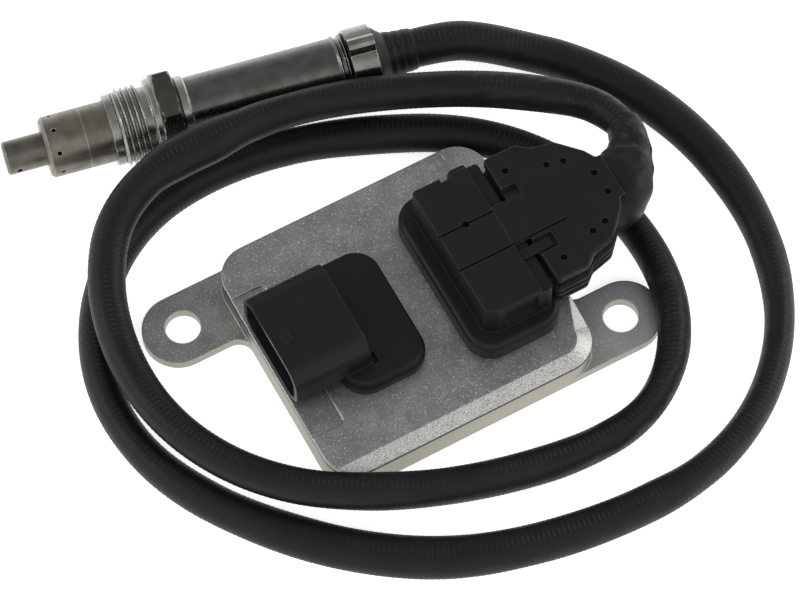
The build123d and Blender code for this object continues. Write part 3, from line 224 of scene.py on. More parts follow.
def fill(tree, node, inputs):
    """Fills a node's inputs, by name or by place, with values, with other nodes' sockets, or
    with other nodes' first outputs in use."""
    for key, value in inputs.items() if isinstance(inputs, dict) else enumerate(inputs):
        socket = node.inputs[key]
        if isinstance(value, bpy.types.Node):
            value = next(out for out in value.outputs if out.enabled)
        if isinstance(value, bpy.types.NodeSocket):
            tree.links.new(value, socket)
        elif socket.type == "RGBA":
            socket.default_value = (*value, 1.0)
        else:
            socket.default_value = value


def add(tree, kind, inputs=(), **settings):
    """Adds a node with its settings and its input values or links."""
    made = tree.nodes.new(kind)
    for name, value in settings.items():
        setattr(made, name, value)
    fill(tree, made, inputs)
    return made


def surface(name, colour, constants):
    """A new material and its shader, with the constants set on the shader itself."""
    made = bpy.data.materials.new(name)
    made.use_nodes = True
    shader = made.node_tree.nodes["Principled BSDF"]
    fill(made.node_tree, shader, {"Base Color": colour, **constants})
    return made, made.node_tree, shader


def noise(tree, size, detail=2.0, stretch=(1, 1, 1)):
    """Soft grains of one size, in metres, in the object's own coordinates."""
    place = add(tree, "ShaderNodeTexCoord").outputs["Object"]
    sized = {"Vector": place, "Scale": [s / size for s in stretch]}
    grains = {"Vector": add(tree, "ShaderNodeMapping", sized), "Scale": 1.0, "Detail": detail}
    return add(tree, "ShaderNodeTexNoise", grains)


def coats(tree, colour, *layers):
    """Lays colours over a first one. Each layer has its pattern, the pattern's values where
    the layer starts and where it is full, its share where full, and its colour."""
    for pattern, start, full, most, over in layers:
        share = add(tree, RANGE, (pattern, start, full, 0.0, most))
        colour = add(tree, MIX, {0: share, 6: colour, 7: over}, data_type="RGBA")
    return colour


def soft_edges(tree, radius):
    """The normal with its edges rounded, and a pattern that falls below 1 along them."""
    rounded = add(tree, "ShaderNodeBevel", {"Radius": radius}, samples=4)
    plain = add(tree, "ShaderNodeNewGeometry").outputs["Normal"]
    return rounded, add(tree, VECTOR_MATH, (rounded, plain), operation="DOT_PRODUCT")


def facing(tree):
    """The parts of a surface's direction: Z is 1 on flat tops and 0 on upright walls."""
    flat = add(tree, "ShaderNodeNewGeometry").outputs["Normal"]
    return add(tree, "ShaderNodeSeparateXYZ", (flat,)).outputs


def finish(tree, shader, colour, grain, rough, height, depth, normal=None):
    """Links a colour, a roughness that follows a grain, and a relief whose full height is a
    real depth in metres."""
    satin = add(tree, RANGE, (grain, *GRAINS, *rough))
    relief = {"Height": height, "Distance": depth, "Strength": 1.0}
    if normal is not None:
        relief["Normal"] = normal
    bump = add(tree, "ShaderNodeBump", relief)
    fill(tree, shader, {"Base Color": colour, "Roughness": satin, "Normal": bump})


def cast_aluminium(sizes, colours):
    """Die-cast aluminium, tumbled: grey and clouded on top with bright pin-prick specks and a
    painted pool of light that turns it paler towards the right ear, a painted highlight on the
    bevel, painted darker as shade on the right side, upright walls painted smooth and cream as the
    floor's light reflected in them, a painted highlight along its thin edges, and a dark parting
    line. The specks are drawn 0.36 mm wide and the grain between them 0.3 mm, both coarser than
    the real tumbling marks, which wouldn't show."""
    base = colours.aluminium
    made, tree, shader = surface("cast_aluminium_tumbled", base, {"Metallic": 1.0})
    normal, edge = soft_edges(tree, sizes.edge_radius * 1.4)
    fine = noise(tree, 0.3 * MM)
    faced = facing(tree)
    place = add(tree, "ShaderNodeTexCoord").outputs["Object"]
    stations = add(tree, "ShaderNodeSeparateXYZ", (place,)).outputs
    top = coats(
        tree, scaled(base, 0.7),
        (fine, 0.34, 0.66, 1.0, scaled(base, 1.25)),
        (noise(tree, 6 * MM, 5.0), 0.38, 0.62, 0.6, scaled(base, 0.62)),
        # Painted pool of light: the top turns paler towards the right ear
        (stations["X"], *PAINTED_LIGHT_TOWARDS_EAR, 0.6, scaled(base, 1.7)),
        (noise(tree, 0.36 * MM), 0.61, 0.72, 1.0, linear("#f2f2ee")),
    )
    # The bevel is painted paler than the top, with pale flecks, as a highlight
    bevel = coats(
        tree, linear("#90918c"),
        (fine, 0.3, 0.62, 1.0, linear("#fbfbf5")),
        # The right side's bevel is painted darker, as shade
        (faced["X"], 0.25, 0.45, 0.8, linear("#777975")),
    )
    # The upright walls are painted cream, as the floor's light reflected in them
    wall = coats(tree, linear("#8e8c7f"), (fine, *GRAINS, 1.0, linear("#a9a799")))
    above = add(tree, RANGE, (stations["Z"], *LINE_LOW, 0.0, 1.0))
    below = add(tree, RANGE, (stations["Z"], *LINE_HIGH, 0.0, 1.0))
    line = add(tree, MATH, (above, below), operation="MULTIPLY")
    colour = coats(
        tree, top,
        (faced["Z"], *BEVEL, bevel),
        (faced["Z"], *WALL, wall),
        # A painted highlight along the edges
        (edge, *EDGE_HIGHLIGHT, linear("#f6f6f2")),
        (line, 0.0, 1.0, 1.0, linear("#1b1b19")),
    )
    finish(tree, shader, colour, fine, (0.36, 0.52), fine, 0.07 * MM, normal)
    return made


def moulded_plastic(name, base, sizes, grain=0.6 * MM, rough=0.42):
    """Glass-filled nylon, injection moulded: near-black, satin, with a faint eroded grain
    and a painted highlight along its edges. The grain is drawn 0.6 mm wide, several times
    the real one, so that it shows."""
    made, tree, shader = surface(name, base, {"Specular IOR Level": 0.22})
    normal, edge = soft_edges(tree, sizes.edge_radius)
    fine = noise(tree, grain)
    colour = coats(
        tree, scaled(base, 0.8),
        (noise(tree, 6 * MM), *GRAINS, 1.0, base),
        # A painted highlight along the edges
        (edge, *EDGE_HIGHLIGHT, scaled(base, 3.2)),
    )
    finish(tree, shader, colour, fine, (rough - 0.06, rough + 0.08), fine, 0.012 * MM, normal)
    return made


def turned_steel(name, base, rough, sizes, line=0.25 * MM, seam=None):
    """Stainless steel, turned on a lathe and heat-stained: fine rings round the axis over a
    warm grey that dulls in patches, a painted highlight along its edges, and a weld seam at a
    station of the probe's axis where one is given, painted pale as a highlight. The rings are
    drawn 0.25 mm apart, coarser than the tool's feed."""
    made, tree, shader = surface(name, base, {"Metallic": 1.0})
    normal, edge = soft_edges(tree, sizes.edge_radius * 0.6)
    along_probe = {
        "Vector": add(tree, "ShaderNodeTexCoord").outputs["Object"],
        "Location": PROBE.translation,
        "Rotation": (0, 0, PROBE_TURN),
        "Scale": (line, RING_SPREAD, RING_SPREAD),
    }
    about = add(tree, "ShaderNodeMapping", along_probe, vector_type="TEXTURE")
    rings = add(tree, "ShaderNodeTexNoise", {"Vector": about, "Scale": 1.0})
    layers = [
        (noise(tree, 4 * MM, 3.0), 0.35, 0.7, 1.0, scaled(base, 0.66)),
        # A painted highlight along the edges
        (edge, *EDGE_HIGHLIGHT, linear("#d8d6cf")),
    ]
    if seam is not None:
        station = add(tree, "ShaderNodeSeparateXYZ", (about,)).outputs["X"]
        away = add(tree, MATH, (station, seam / line), operation="SUBTRACT")
        off = add(tree, MATH, (away,), operation="ABSOLUTE")
        # The seam's pale band is a painted highlight
        layers.append((off, 0.3 * MM / line, 0.12 * MM / line, 0.35, linear("#b9b7aa")))
    grain = noise(tree, 0.5 * MM, 1.0)
    satin = (rough - 0.05, rough + 0.07)
    finish(tree, shader, coats(tree, base, *layers), grain, satin, rings, 0.02 * MM, normal)
    return made


def plated_nut(base, dark, sizes):
    """Zinc-plated steel: bright on the cut thread and neck, dulled almost black on the
    hexagon's flats."""
    made = turned_steel("nut_zinc_plated_steel", base, 0.28, sizes)
    tree = made.node_tree
    shader = tree.nodes["Principled BSDF"]
    bright = shader.inputs["Base Color"].links[0].from_socket
    along = add(tree, "ShaderNodeAttribute", attribute_name="along").outputs["Fac"]
    flats = coats(tree, dark, (noise(tree, 3 * MM), *GRAINS, 1.0, scaled(dark, 0.7)))
    colour = coats(tree, bright, (along, NUT_HEX - 0.1 * MM, NUT_HEX + 0.3 * MM, 1.0, flats))
    fill(tree, shader, {"Base Color": colour})
    return made


def plain_finish(name, base, rough, metallic):
    """A plain surface that stays hidden: even colour with a faint grain in it, drawn
    0.8 mm wide."""
    made, tree, shader = surface(name, base, {"Metallic": metallic})
    fine = noise(tree, 0.8 * MM)
    colour = coats(tree, scaled(base, 0.85), (fine, *GRAINS, 1.0, base))
    finish(tree, shader, colour, fine, (rough - 0.05, rough + 0.05), fine, 0.01 * MM)
    return made


def sleeve_rubber(name, base, sizes):
    """Black heat-shrunk sleeve over a corrugated tube: dull and wrinkled where it is bent
    tight, with a painted highlight in ticks on the rib crests of its upward-facing side, in
    patches. The crests lie a rib's pitch apart, and the wrinkles are about 5 mm wide."""
    made, tree, shader = surface(name, base, {"Specular IOR Level": 0.25})
    fine = noise(tree, 0.7 * MM, 3.0)
    along = add(tree, "ShaderNodeAttribute", attribute_name="along").outputs["Fac"]
    turns = add(tree, MATH, (along, 2 * pi / sizes.rib_pitch), operation="MULTIPLY")
    wave = add(tree, MATH, (turns,), operation="COSINE")
    crest = add(tree, RANGE, (wave, 0.55, 1.0, 0.0, 1.0))
    # Painted highlight: ticks on the rib crests of the upward-facing side, in patches
    upper = add(tree, RANGE, (facing(tree)["Z"], 0.975, 0.996, 0.0, 1.0))
    patch = add(tree, RANGE, (noise(tree, 22 * MM, 1.0), 0.38, 0.58, 0.0, 1.0))
    ticks = add(tree, MATH, (crest, upper), operation="MULTIPLY")
    painted_tick_highlight = add(tree, MATH, (ticks, patch), operation="MULTIPLY")
    colour = coats(
        tree, scaled(base, 0.75),
        (noise(tree, 14 * MM, 3.0), 0.3, 0.75, 1.0, scaled(base, 1.25)),
        (painted_tick_highlight, 0.0, 1.0, 0.65, linear("#323533")),
    )
    crease = add(tree, "ShaderNodeAttribute", attribute_name="crease").outputs["Fac"]
    folds = noise(tree, 5 * MM, 1.0, (0.5, 1, 1))
    wrinkled = add(
        tree, "ShaderNodeBump", {"Height": folds, "Distance": 1.5 * MM, "Strength": crease}
    )
    finish(tree, shader, colour, fine, (0.4, 0.56), fine, 0.03 * MM, wrinkled)
    return made


def floor_paper(colours):
    """Matt white paper. A little light of its own where the camera or a gloss sees it brings
    the unshadowed floor to white and leaves the sensor's soft shadow."""
    made, tree, shader = surface("floor_paper", colours.floor, {"Roughness": 1.0})
    ray = add(tree, "ShaderNodeLightPath").outputs
    mirrored = add(tree, MATH, (ray["Is Camera Ray"], ray["Is Glossy Ray"]), operation="MAXIMUM")
    seen = add(tree, MATH, (mirrored, ray["Is Transmission Ray"]), operation="MAXIMUM")
    level = add(tree, MATH, (seen, FLOOR_GLOW), operation="MULTIPLY")
    fill(tree, shader, {"Emission Color": (1, 1, 1), "Emission Strength": level})
    return made


def studio_world():
    """A light tent: white for the camera, bright at the sides and dim overhead, so that flat
    metal faces turn grey while bevels and edges stay bright."""
    world = bpy.data.worlds.new("light_tent")
    world.use_nodes = True
    tree = world.node_tree
    tree.nodes.clear()
    place = add(tree, "ShaderNodeTexCoord").outputs["Generated"]
    overhead = Vector((0.21, 0.38, 0.90)).normalized()
    toward = add(tree, VECTOR_MATH, (place, overhead), operation="DOT_PRODUCT")
    # From 63 to 23 degrees off that direction the light falls from 0.95 to 0.42
    level = add(tree, RANGE, (toward, 0.45, 0.92, 0.95, 0.42), interpolation_type="SMOOTHSTEP")
    tent = add(tree, "ShaderNodeBackground", {"Color": (1, 1, 1), "Strength": level})
    white = add(tree, "ShaderNodeBackground", {"Color": (1, 1, 1), "Strength": 1.0})
    seen = add(tree, "ShaderNodeLightPath").outputs["Is Camera Ray"]
    light = add(tree, "ShaderNodeMixShader", (seen, tent, white))
    add(tree, "ShaderNodeOutputWorld", {"Surface": light})
    return world


def mesh_piece(name, points, faces):
    """A mesh object at the origin from points and faces, smooth shaded."""
    mesh = bpy.data.meshes.new(name)
    mesh.from_pydata(points, [], faces)
    mesh.update()
    mesh.shade_smooth()
    made = bpy.data.objects.new(name, mesh)
    bpy.context.scene.collection.objects.link(made)
    return made


def attribute(piece, name, values):
    """Stores a number or a vector for each point, for node trees to read."""
    vectors = isinstance(values[0], Vector)
    layer = piece.data.attributes.new(name, "FLOAT_VECTOR" if vectors else "FLOAT", "POINT")
    flat = [x for v in values for x in v] if vectors else values
    layer.data.foreach_set("vector" if vectors else "value", flat)


def tube_faces(rings, around, closed=False):
    """Quads between rings of points, with the last ring joined to the first where closed and
    a cap on each end where not."""
    faces = []
    for i in range(rings if closed else rings - 1):
        a, b = i * around, (i + 1) % rings * around
        for j in range(around):
            k = (j + 1) % around
            faces.append((a + j, a + k, b + k, b + j))
    if not closed:
        last = (rings - 1) * around
        faces.append(tuple(reversed(range(around))))
        faces.append(tuple(range(last, last + around)))
    return faces


def spun_piece(name, rows, around, start=0.0, flats=None, rise=0.0):
    """A closed piece spun round the probe's axis, from rows of station past the start,
    radius, and share of the waves. The radius is cut to a hexagon where it passes the flats,
    and the waves rise along the axis by the given step in each turn."""
    points, along, outward, share = [], [], [], []
    turned = PROBE.to_3x3()
    for station, radius, weight in rows:
        for j in range(around):
            turn = 2 * pi * j / around
            reach = radius
            if flats is not None:
                reach = min(radius, flats / cos((turn + pi / 6) % (pi / 3) - pi / 6))
            spoke = Vector((0.0, sin(turn), cos(turn)))
            points.append(PROBE @ (Vector((start + station, 0, 0)) + spoke * reach))
            outward.append(turned @ spoke)
            along.append(station + rise * j / around * (weight > 0))
            share.append(weight)
    made = mesh_piece(name, points, tube_faces(len(rows), around, closed=True))
    made.data.flip_normals()
    attribute(made, "along", along)
    attribute(made, "share", share)
    attribute(made, "outward", outward)
    return made


def wave_tree(name, sharp):
    """Geometry nodes that push a surface out in waves along its attribute 'along': round
    ribs, or sharp thread crests, over the part where the attribute 'share' is 1."""
    tree = bpy.data.node_groups.new(name, "GeometryNodeTree")
    face = tree.interface
    face.new_socket("Geometry", in_out="INPUT", socket_type="NodeSocketGeometry")
    for title in ("Pitch", "Height"):
        face.new_socket(title, in_out="INPUT", socket_type="NodeSocketFloat")
    face.new_socket("Material", in_out="INPUT", socket_type="NodeSocketMaterial")
    face.new_socket("Geometry", in_out="OUTPUT", socket_type="NodeSocketGeometry")
    start = add(tree, "NodeGroupInput").outputs
    along, share, out = (
        add(tree, "GeometryNodeInputNamedAttribute", {"Name": title}, data_type=kind)
        for title, kind in (("along", "FLOAT"), ("share", "FLOAT"), ("outward", "FLOAT_VECTOR"))
    )
    turns = add(tree, MATH, (along, start["Pitch"]), operation="DIVIDE")
    if sharp:
        # Each crest and root has a flat 0.12 of a pitch wide
        double = add(tree, MATH, (turns, 0.5), operation="PINGPONG")
        lift = add(tree, RANGE, (double, 0.06, 0.44, 0.0, -1.0))
    else:
        angle = add(tree, MATH, (turns, 2 * pi), operation="MULTIPLY")
        lift = add(tree, MATH, (angle,), operation="COSINE")
    high = add(tree, MATH, (lift, start["Height"]), operation="MULTIPLY")
    faded = add(tree, MATH, (high, share), operation="MULTIPLY")
    offset = add(tree, VECTOR_MATH, {0: out, "Scale": faded}, operation="SCALE")
    moved = add(
        tree, "GeometryNodeSetPosition", {"Geometry": start["Geometry"], "Offset": offset}
    )
    real = add(tree, "GeometryNodeRealizeInstances", (moved,))
    faced = add(
        tree, "GeometryNodeSetMaterial", {"Geometry": real, "Material": start["Material"]}
    )
    add(tree, "NodeGroupOutput", (faced,))
    return tree


def through(piece, tree, **values):
    """Runs a geometry node tree on a piece and keeps the result as its plain mesh."""
    step = piece.modifiers.new(tree.name, "NODES")
    step.node_group = tree
    for item in tree.interface.items_tree:
        if item.in_out == "INPUT" and item.name in values:
            step[item.identifier] = values[item.name]
    shown = piece.evaluated_get(bpy.context.evaluated_depsgraph_get())
    made = bpy.data.meshes.new_from_object(shown)
    piece.modifiers.remove(step)
    piece.data = made
    made.shade_smooth()


def spline_points(route):
    """The points of the route's smooth curve, read from a spline with no bevel."""
    curve = bpy.data.curves.new("cable_route", "CURVE")
    curve.dimensions = "3D"
    curve.resolution_u = 16
    spline = curve.splines.new("NURBS")
    spline.points.add(len(route) - 1)
    for point, place in zip(spline.points, route):
        point.co = (*place, 1.0)
    spline.order_u = 3
    spline.use_endpoint_u = True
    line = bpy.data.objects.new("cable_route", curve)
    bpy.context.scene.collection.objects.link(line)
    bpy.context.view_layer.update()
    shown = line.evaluated_get(bpy.context.evaluated_depsgraph_get())
    points = [v.co.copy() for v in bpy.data.meshes.new_from_object(shown).vertices]
    bpy.data.objects.remove(line)
    return points


def evenly(points, step):
    """Points a step apart along a line, with their distances from its start."""
    marks = [0.0]
    for a, b in zip(points, points[1:]):
        marks.append(marks[-1] + (b - a).length)
    count = int(marks[-1] / step)
    places, i = [], 0
    for n in range(count + 1):
        at = marks[-1] * n / count
        while i < len(marks) - 2 and marks[i + 1] < at:
            i += 1
        run = marks[i + 1] - marks[i]
        share = (at - marks[i]) / run if run else 0.0
        places.append((points[i].lerp(points[i + 1], share), at))
    return places


def sections(path):
    """The centre, distance, side and up of the section at each point of a path."""
    for i, (centre, at) in enumerate(path):
        ahead = path[min(i + 1, len(path) - 1)][0] - path[max(i - 1, 0)][0]
        side = ahead.cross(Vector((0, 0, 1))).normalized()
        yield centre, at, side, side.cross(ahead).normalized()


def keyed(keys, at):
    """A value between given keys (distance, value), eased from one to the next."""
    if at <= keys[0][0]:
        return keys[0][1]
    for (a, x), (b, y) in zip(keys, keys[1:]):
        if at <= b:
            t = (at - a) / (b - a)
            t = t * t * (3 - 2 * t)
            return x + (y - x) * t
    return keys[-1][1]


class SENSOR_OT_stage(bpy.types.Operator):
    """Makes the floor, the lamps and the camera"""

    bl_idname = "sensor.stage"
    bl_label = "Stage"

    def execute(self, context):
        scene = context.scene
        scene.view_settings.view_transform = "Standard"
        lens = bpy.data.cameras.new("camera")
        lens.lens = LENS
        lens.sensor_width = FILM_WIDTH
        lens.clip_end = CLIP_END
        camera = bpy.data.objects.new("camera", lens)
        camera.location = CAMERA_PLACE
        aim = Vector(CAMERA_AIM) - camera.location
        camera.rotation_euler = aim.to_track_quat("-Z", "Y").to_euler()
        scene.collection.objects.link(camera)
        scene.camera = camera
        turns = ((-1, -1), (1, -1), (1, 1), (-1, 1))
        corners = [(x * FLOOR_HALF, y * FLOOR_HALF, FLOOR_LEVEL) for x, y in turns]
        floor = mesh_piece("floor", corners, [(0, 1, 2, 3)])
        floor.data.materials.append(floor_paper(scene.sensor_colours))
        for name, place, size, power, shows in LAMPS:
            lamp = bpy.data.lights.new(name, "AREA")
            lamp.size = size
            lamp.energy = power
            made = bpy.data.objects.new(name, lamp)
            made.location = place
            made.visible_glossy = shows
            made.rotation_euler = (-Vector(place)).to_track_quat("-Z", "Y").to_euler()
            scene.collection.objects.link(made)
        scene.world = studio_world()
        return {"FINISHED"}


class SENSOR_OT_cable(bpy.types.Operator):
    """Makes the sleeved cable along its route"""

    bl_idname = "sensor.cable"
    bl_label = "Cable"

    # Distance along the cable in metres, and the section's share of the full width there
    WIDTH = [
        (0.0, 0.9), (0.006, 0.76), (0.02, 0.76), (0.03, 0.87), (0.052, 0.95), (0.09, 0.9),
        (0.11, 0.84), (0.122, 0.92), (0.134, 1.13), (0.142, 1.1), (0.152, 0.93), (0.17, 0.95),
        (0.236, 0.88), (0.262, 0.9), (0.278, 0.95), (0.295, 0.91), (0.32, 0.92), (0.336, 0.85),
        (0.352, 0.76), (0.37, 0.84), (0.4, 0.88), (0.478, 1.02), (0.5, 0.94), (0.56, 0.9),
        (0.606, 0.86), (0.634, 0.97), (0.662, 1.08), (0.69, 1.1), (0.718, 1.02), (0.746, 0.95),
        (0.762, 0.82), (0.78, 0.76), (0.806, 0.75), (0.83, 0.87), (0.858, 1.03), (0.88, 1.06),
        (0.916, 1.02), (0.935, 1.04), (0.952, 1.0),
    ]
    # The same for its thickness
    THICK = [
        (0.0, 0.9), (0.006, 0.72), (0.018, 0.72), (0.03, 0.92), (0.25, 0.92), (0.352, 0.97),
        (0.5, 0.92), (0.606, 0.96), (0.69, 0.86), (0.79, 0.99), (0.87, 0.9), (0.93, 1.0),
    ]
    # The same for how wrinkled it is
    CREASE = [
        (0.0, 0.9), (0.04, 0.9), (0.07, 0.5), (0.1, 0.1), (0.2, 0.05), (0.3, 0.1),
        (0.34, 0.7), (0.37, 0.6), (0.41, 0.05), (0.6, 0.05), (0.7, 0.2), (0.77, 0.5),
        (0.81, 0.3), (0.86, 0.05), (0.952, 0.3),
    ]

    def execute(self, context):
        sizes, colours = context.scene.sensor_sizes, context.scene.sensor_colours
        places = evenly(spline_points(CABLE_ROUTE), sizes.rib_pitch / STEPS_PER_RIB)
        radius = sizes.cable_diameter / 2
        points, along, outward, crease = [], [], [], []
        for centre, at, side, up in sections(places):
            wide, thick = radius * keyed(self.WIDTH, at), radius * keyed(self.THICK, at)
            for j in range(CABLE_AROUND):
                turn = 2 * pi * j / CABLE_AROUND
                spoke = side * (wide * cos(turn)) + up * (thick * sin(turn))
                points.append(centre + spoke)
                outward.append(spoke.normalized())
                along.append(at)
                crease.append(keyed(self.CREASE, at))
        cable = mesh_piece("cable", points, tube_faces(len(places), CABLE_AROUND))
        attribute(cable, "along", along)
        attribute(cable, "share", [1.0] * len(points))
        attribute(cable, "outward", outward)
        attribute(cable, "crease", crease)
        through(
            cable, wave_tree("cable_ribs", False), Pitch=sizes.rib_pitch,
            Height=sizes.rib_height,
            Material=sleeve_rubber("heat_shrunk_sleeve", colours.sleeve, sizes),
        )
        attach(cable, "sensor")
        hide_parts("cable_sleeve")
        return {"FINISHED"}


class SENSOR_OT_nut(bpy.types.Operator):
    """Makes the hexagon nut with its thread"""

    bl_idname = "sensor.nut"
    bl_label = "Union nut"

    def execute(self, context):
        sizes = context.scene.sensor_sizes
        length = NUT_NECK - NUT_FRONT
        steps = ceil(length / (sizes.thread_pitch / STEPS_PER_CREST))
        rows = [(NUT_FRONT, NUT_BORE, 0.0)]
        for i in range(steps + 1):
            station = NUT_FRONT + length * i / steps
            lead = min(1.0, (station - NUT_FRONT) / THREAD_LEAD)
            rows.append((station, THREAD_CREST - THREAD_LEAD * (1 - lead), lead))
        # The hexagon's corners are cut back over a quarter and a half of their rise
        corner = HEX_FLATS / cos(pi / 6)
        rise = corner - HEX_FLATS
        rows += [
            (station, radius, 0.0)
            for station, radius in (
                (NUT_NECK, NECK_ENDS[0]), (NUT_NECK + NECK_ROUNDING, NECK),
                (NUT_WASHER - NECK_ROUNDING, NECK), (NUT_WASHER, NECK_ENDS[1]),
                (NUT_WASHER, WASHER - WASHER_CHAMFER), (NUT_WASHER + WASHER_CHAMFER, WASHER),
                (NUT_HEX, WASHER), (NUT_HEX, HEX_ENDS),
                (NUT_HEX + rise / 4, HEX_FLATS + rise / 2),
                (NUT_HEX + rise / 2, corner), (NUT_BACK - rise / 2, corner),
                (NUT_BACK - rise / 4, HEX_FLATS + rise / 2), (NUT_BACK, HEX_ENDS),
                (NUT_BACK, NUT_BORE),
            )
        ]
        nut = spun_piece(
            "union_nut_threaded", rows, NUT_AROUND, flats=HEX_FLATS, rise=sizes.thread_pitch
        )
        through(
            nut, wave_tree("thread_crests", True), Pitch=sizes.thread_pitch,
            Height=sizes.thread_depth,
            Material=plated_nut(linear("#9b9c96"), linear("#5c5e58"), sizes),
        )
        nut.data.set_sharp_from_angle(angle=SHARPEST_SMOOTH)
        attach(nut, "nut")
        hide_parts("union_nut")
        return {"FINISHED"}


class SENSOR_OT_cuff(bpy.types.Operator):
    """Makes the shrunk rubber cuff from the plug cover to the cable"""

    bl_idname = "sensor.cuff"
    bl_label = "Plug cuff"

    # Centre, half width and half thickness in millimetres, and squareness of its sections
    CUFF = [
        ((52.5, -0.8, 20.4), 10.6, 5.9, 4.0), ((56.5, -0.9, 20.6), 10.1, 6.0, 3.6),
        ((60.3, 0.0, 20.8), 8.9, 7.05, 3.0), ((63.9, 2.5, 20.9), 7.1, 6.7, 2.5),
        ((67.3, 6.4, 20.8), 5.7, 6.0, 2.2), ((69.4, 10.6, 20.5), 4.9, 5.3, 2.0),
        ((70.0, 14.6, 20.3), 4.4, 4.7, 2.0),
    ]
    # Where the rubber is pressed in, how far round that, and how deep
    DENT = Vector((67.2, 7.9, 25.4)) * MM
    DENT_REACH = 4.2 * MM
    DENT_DEPTH = 1.9 * MM
    # How far its folds stand out, as a share of its size, and how wrinkled it is
    FOLDS = 0.022
    CREASE = 0.6

    def execute(self, context):
        sizes, colours = context.scene.sensor_sizes, context.scene.sensor_colours
        rubber = sleeve_rubber("shrunk_rubber_cuff", colours.sleeve, sizes)
        centres = [Vector(row[0]) * MM for row in self.CUFF]
        rings = (len(self.CUFF) - 1) * STEPS_PER_SECTION + 1
        length = sum((b - a).length for a, b in zip(centres, centres[1:]))
        path = evenly(spline_points(centres), length / rings)
        points = []
        for centre, at, side, up in sections(path):
            mark = at / path[-1][1] * (len(self.CUFF) - 1)
            wide, thick, square = (
                keyed([(i, row[k]) for i, row in enumerate(self.CUFF)], mark) for k in (1, 2, 3)
            )
            for j in range(CUFF_AROUND):
                turn = 2 * pi * j / CUFF_AROUND
                x, y = cos(turn), sin(turn)
                x = wide * MM * abs(x) ** (2 / square) * (1 if x > 0 else -1)
                y = thick * MM * abs(y) ** (2 / square) * (1 if y > 0 else -1)
                # The folds wander round the cuff and along it
                wander = sin(at / MM * 1.3 + 2.0 * sin(turn * 2))
                fold = 1 + self.FOLDS * wander * sin(turn * 3 + at / MM * 0.25)
                point = centre + (side * x + up * y) * fold
                pit = max(0.0, 1 - (point - self.DENT).length / self.DENT_REACH)
                point.z -= self.DENT_DEPTH * pit * pit * (3 - 2 * pit)
                points.append(point)
        cuff = mesh_piece("plug_cuff", points, tube_faces(len(path), CUFF_AROUND))
        attribute(cuff, "crease", [self.CREASE] * len(points))
        cuff.data.materials.append(rubber)
        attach(cuff, "sensor")
        return {"FINISHED"}


class SENSOR_OT_boot(bpy.types.Operator):
    """Makes the probe's ribbed rubber boot"""

    bl_idname = "sensor.boot"
    bl_label = "Probe boot"

    # Station along the probe's axis from the band's end, and radius, in millimetres
    BOOT = [
        (-7.0, 5.5), (-7.0, 8.6), (0.0, 8.6), (0.5, 8.4), (1.2, 7.9), (2.2, 6.9), (3.2, 6.2),
        (4.4, 6.0), (6.0, 5.75), (8.0, 5.6), (10.0, 5.45), (10.5, 5.3), (10.5, 4.9),
    ]
    # Where its ribs start, growing over a millimetre, and where they end, fading over two
    RIBS = (0.6, 10.2)
    # How wrinkled it is
    CREASE = 0.35

    def execute(self, context):
        sizes, colours = context.scene.sensor_sizes, context.scene.sensor_colours
        outline = [self.BOOT[0], self.BOOT[1]]
        for (a, x), (b, y) in zip(self.BOOT[2:], self.BOOT[3:]):
            steps = max(1, ceil((b - a) / BOOT_STEP))
            outline += [(a + (b - a) * n / steps, x + (y - x) * n / steps) for n in range(steps)]
        outline.append(self.BOOT[-1])
        first, last = self.RIBS
        rows = []
        for station, radius in outline:
            grown = min(1.0, max(0.0, station - first))
            share = grown * min(1.0, max(0.0, (last - station) / 2))
            rows.append((station * MM, radius * MM, share))
        boot = spun_piece("probe_boot", rows, BOOT_AROUND, start=BAND_END)
        attribute(boot, "crease", [self.CREASE] * (len(rows) * BOOT_AROUND))
        through(
            boot, wave_tree("boot_ribs", False), Pitch=sizes.boot_pitch,
            Height=sizes.boot_height,
            Material=sleeve_rubber("moulded_rubber_boot", colours.sleeve, sizes),
        )
        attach(boot, "sensor")
        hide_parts("cable_grommet")
        return {"FINISHED"}


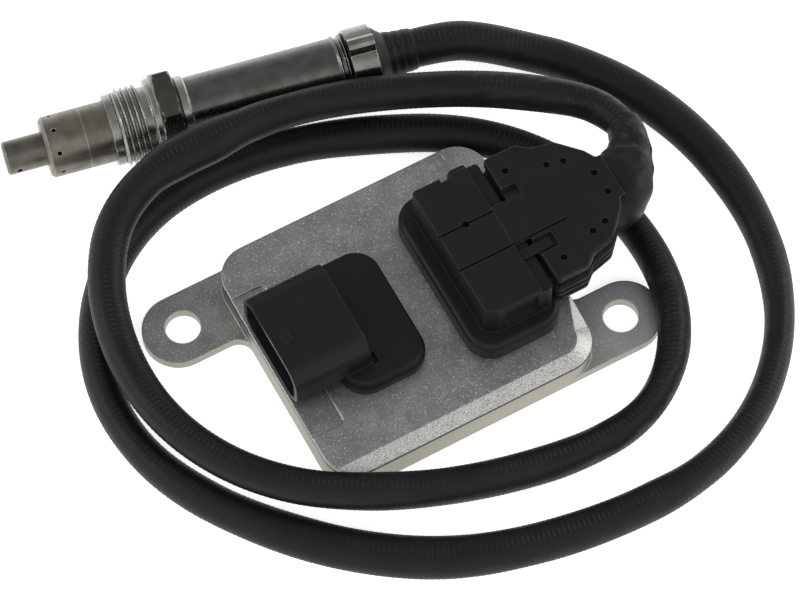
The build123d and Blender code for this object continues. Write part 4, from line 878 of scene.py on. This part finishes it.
class SENSOR_OT_finishes(bpy.types.Operator):
    """Gives every piece of the frame its finish"""

    bl_idname = "sensor.finishes"
    bl_label = "Finishes"

    # Hidden pieces: material, colour, roughness, metallic, and the pieces that have it
    HIDDEN = [
        # Electroplated: pale grey and softly bright
        ("screw_zinc", "#9fa19e", 0.35, 1.0, "cover_screws board_screws"),
        # Tin over stamped brass: dull silver
        (
            "tinned_brass", "#c3c0b4", 0.3, 1.0,
            "connector_pins header_pins plug_terminals contact_springs",
        ),
        # Pressed laminate under a green mask: even and satin
        ("glass_epoxy_board", "#1f4a33", 0.4, 0.0, "circuit_board"),
        # Moulded epoxy: near-black and matt
        ("chip_epoxy", "#202122", 0.5, 0.0, "processor_chip power_chips"),
        # Sintered ceramic: tan and matt
        ("capacitor_ceramic", "#9c8258", 0.5, 0.0, "capacitors"),
        # Fired ceramic: off-white, dry and matt
        (
            "alumina_ceramic", "#dedbd2", 0.55, 0.0,
            "sensing_element front_insulator rear_insulator contact_holder",
        ),
        # Pressed powder: chalky, without any gloss
        ("talc_powder", "#a9a8a4", 0.9, 0.0, "talc_packing"),
        # Extruded jackets: greyish and satin
        ("wire_jacket", "#8c8a80", 0.5, 0.0, "plug_wires lead_wires"),
    ]

    def execute(self, context):
        sizes, colours = context.scene.sensor_sizes, context.scene.sensor_colours
        plastic = moulded_plastic("glass_filled_nylon_black", colours.plastic, sizes)
        # Silicone rubber is duller than the nylon, with a coarser grain
        rubber = moulded_plastic("silicone_rubber_black", linear("#1a1b1b"), sizes, 1.2 * MM, 0.55)
        # The tip is browned by heat, the outer tube a little less, with its weld seam
        tip = turned_steel("tip_stainless_steel", linear("#716f67"), 0.34, sizes)
        tube = turned_steel("tube_stainless_steel", linear("#827f75"), 0.36, sizes, seam=TUBE_SEAM)
        body = turned_steel("body_stainless_steel", colours.steel, 0.25, sizes)
        # The long sleeve is drawn, so its rings are wider
        sleeve = turned_steel("sleeve_stainless_steel", linear("#6c6e69"), 0.24, sizes, 0.4 * MM)
        # The clamp is rolled spring steel, the brightest of the probe's metals
        clamp = turned_steel("clamp_spring_steel", linear("#8f908a"), 0.16, sizes)
        finishes = [
            (cast_aluminium(sizes, colours), "ecu_housing base_plate"),
            (plastic, "vehicle_connector sensor_header plug_cover plug_body"),
            (rubber, "wire_seal housing_seal connector_seal header_seal plug_seal"),
            (tip, "tip_tube"),
            (tube, "outer_tube"),
            (body, "probe_body rear_collar"),
            (sleeve, "rear_sleeve"),
            (clamp, "clamp_band"),
        ]
        for name, colour, rough, metallic, names in self.HIDDEN:
            finishes.append((plain_finish(name, linear(colour), rough, metallic), names))
        for material, names in finishes:
            for name in names.split():
                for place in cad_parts[name].material_slots:
                    place.material = material
        return {"FINISHED"}


class SENSOR_PT_panel(bpy.types.Panel):
    """Lists the sensor's operators and sizes"""

    bl_label = "Nitrogen oxide sensor"
    bl_idname = "SENSOR_PT_panel"
    bl_space_type = "VIEW_3D"
    bl_region_type = "UI"
    bl_category = "Sensor"

    def draw(self, context):
        for step in STEPS:
            self.layout.operator(step.bl_idname)
        for group in (context.scene.sensor_sizes, context.scene.sensor_colours):
            for name in group.bl_rna.properties.keys():
                if name not in ("rna_type", "name"):
                    self.layout.prop(group, name)


STEPS = (
    SENSOR_OT_stage, SENSOR_OT_cable, SENSOR_OT_nut, SENSOR_OT_cuff, SENSOR_OT_boot,
    SENSOR_OT_finishes,
)
CLASSES = (SensorSizes, SensorColours, *STEPS, SENSOR_PT_panel)


def register():
    for kind in CLASSES:
        bpy.utils.register_class(kind)
    bpy.types.Scene.sensor_sizes = bpy.props.PointerProperty(type=SensorSizes)
    bpy.types.Scene.sensor_colours = bpy.props.PointerProperty(type=SensorColours)


def unregister():
    del bpy.types.Scene.sensor_colours
    del bpy.types.Scene.sensor_sizes
    for kind in reversed(CLASSES):
        bpy.utils.unregister_class(kind)


def main():
    register()
    for step in STEPS:
        group, name = step.bl_idname.split(".")
        getattr(getattr(bpy.ops, group), name)()


if __name__ == "__main__":
    main()
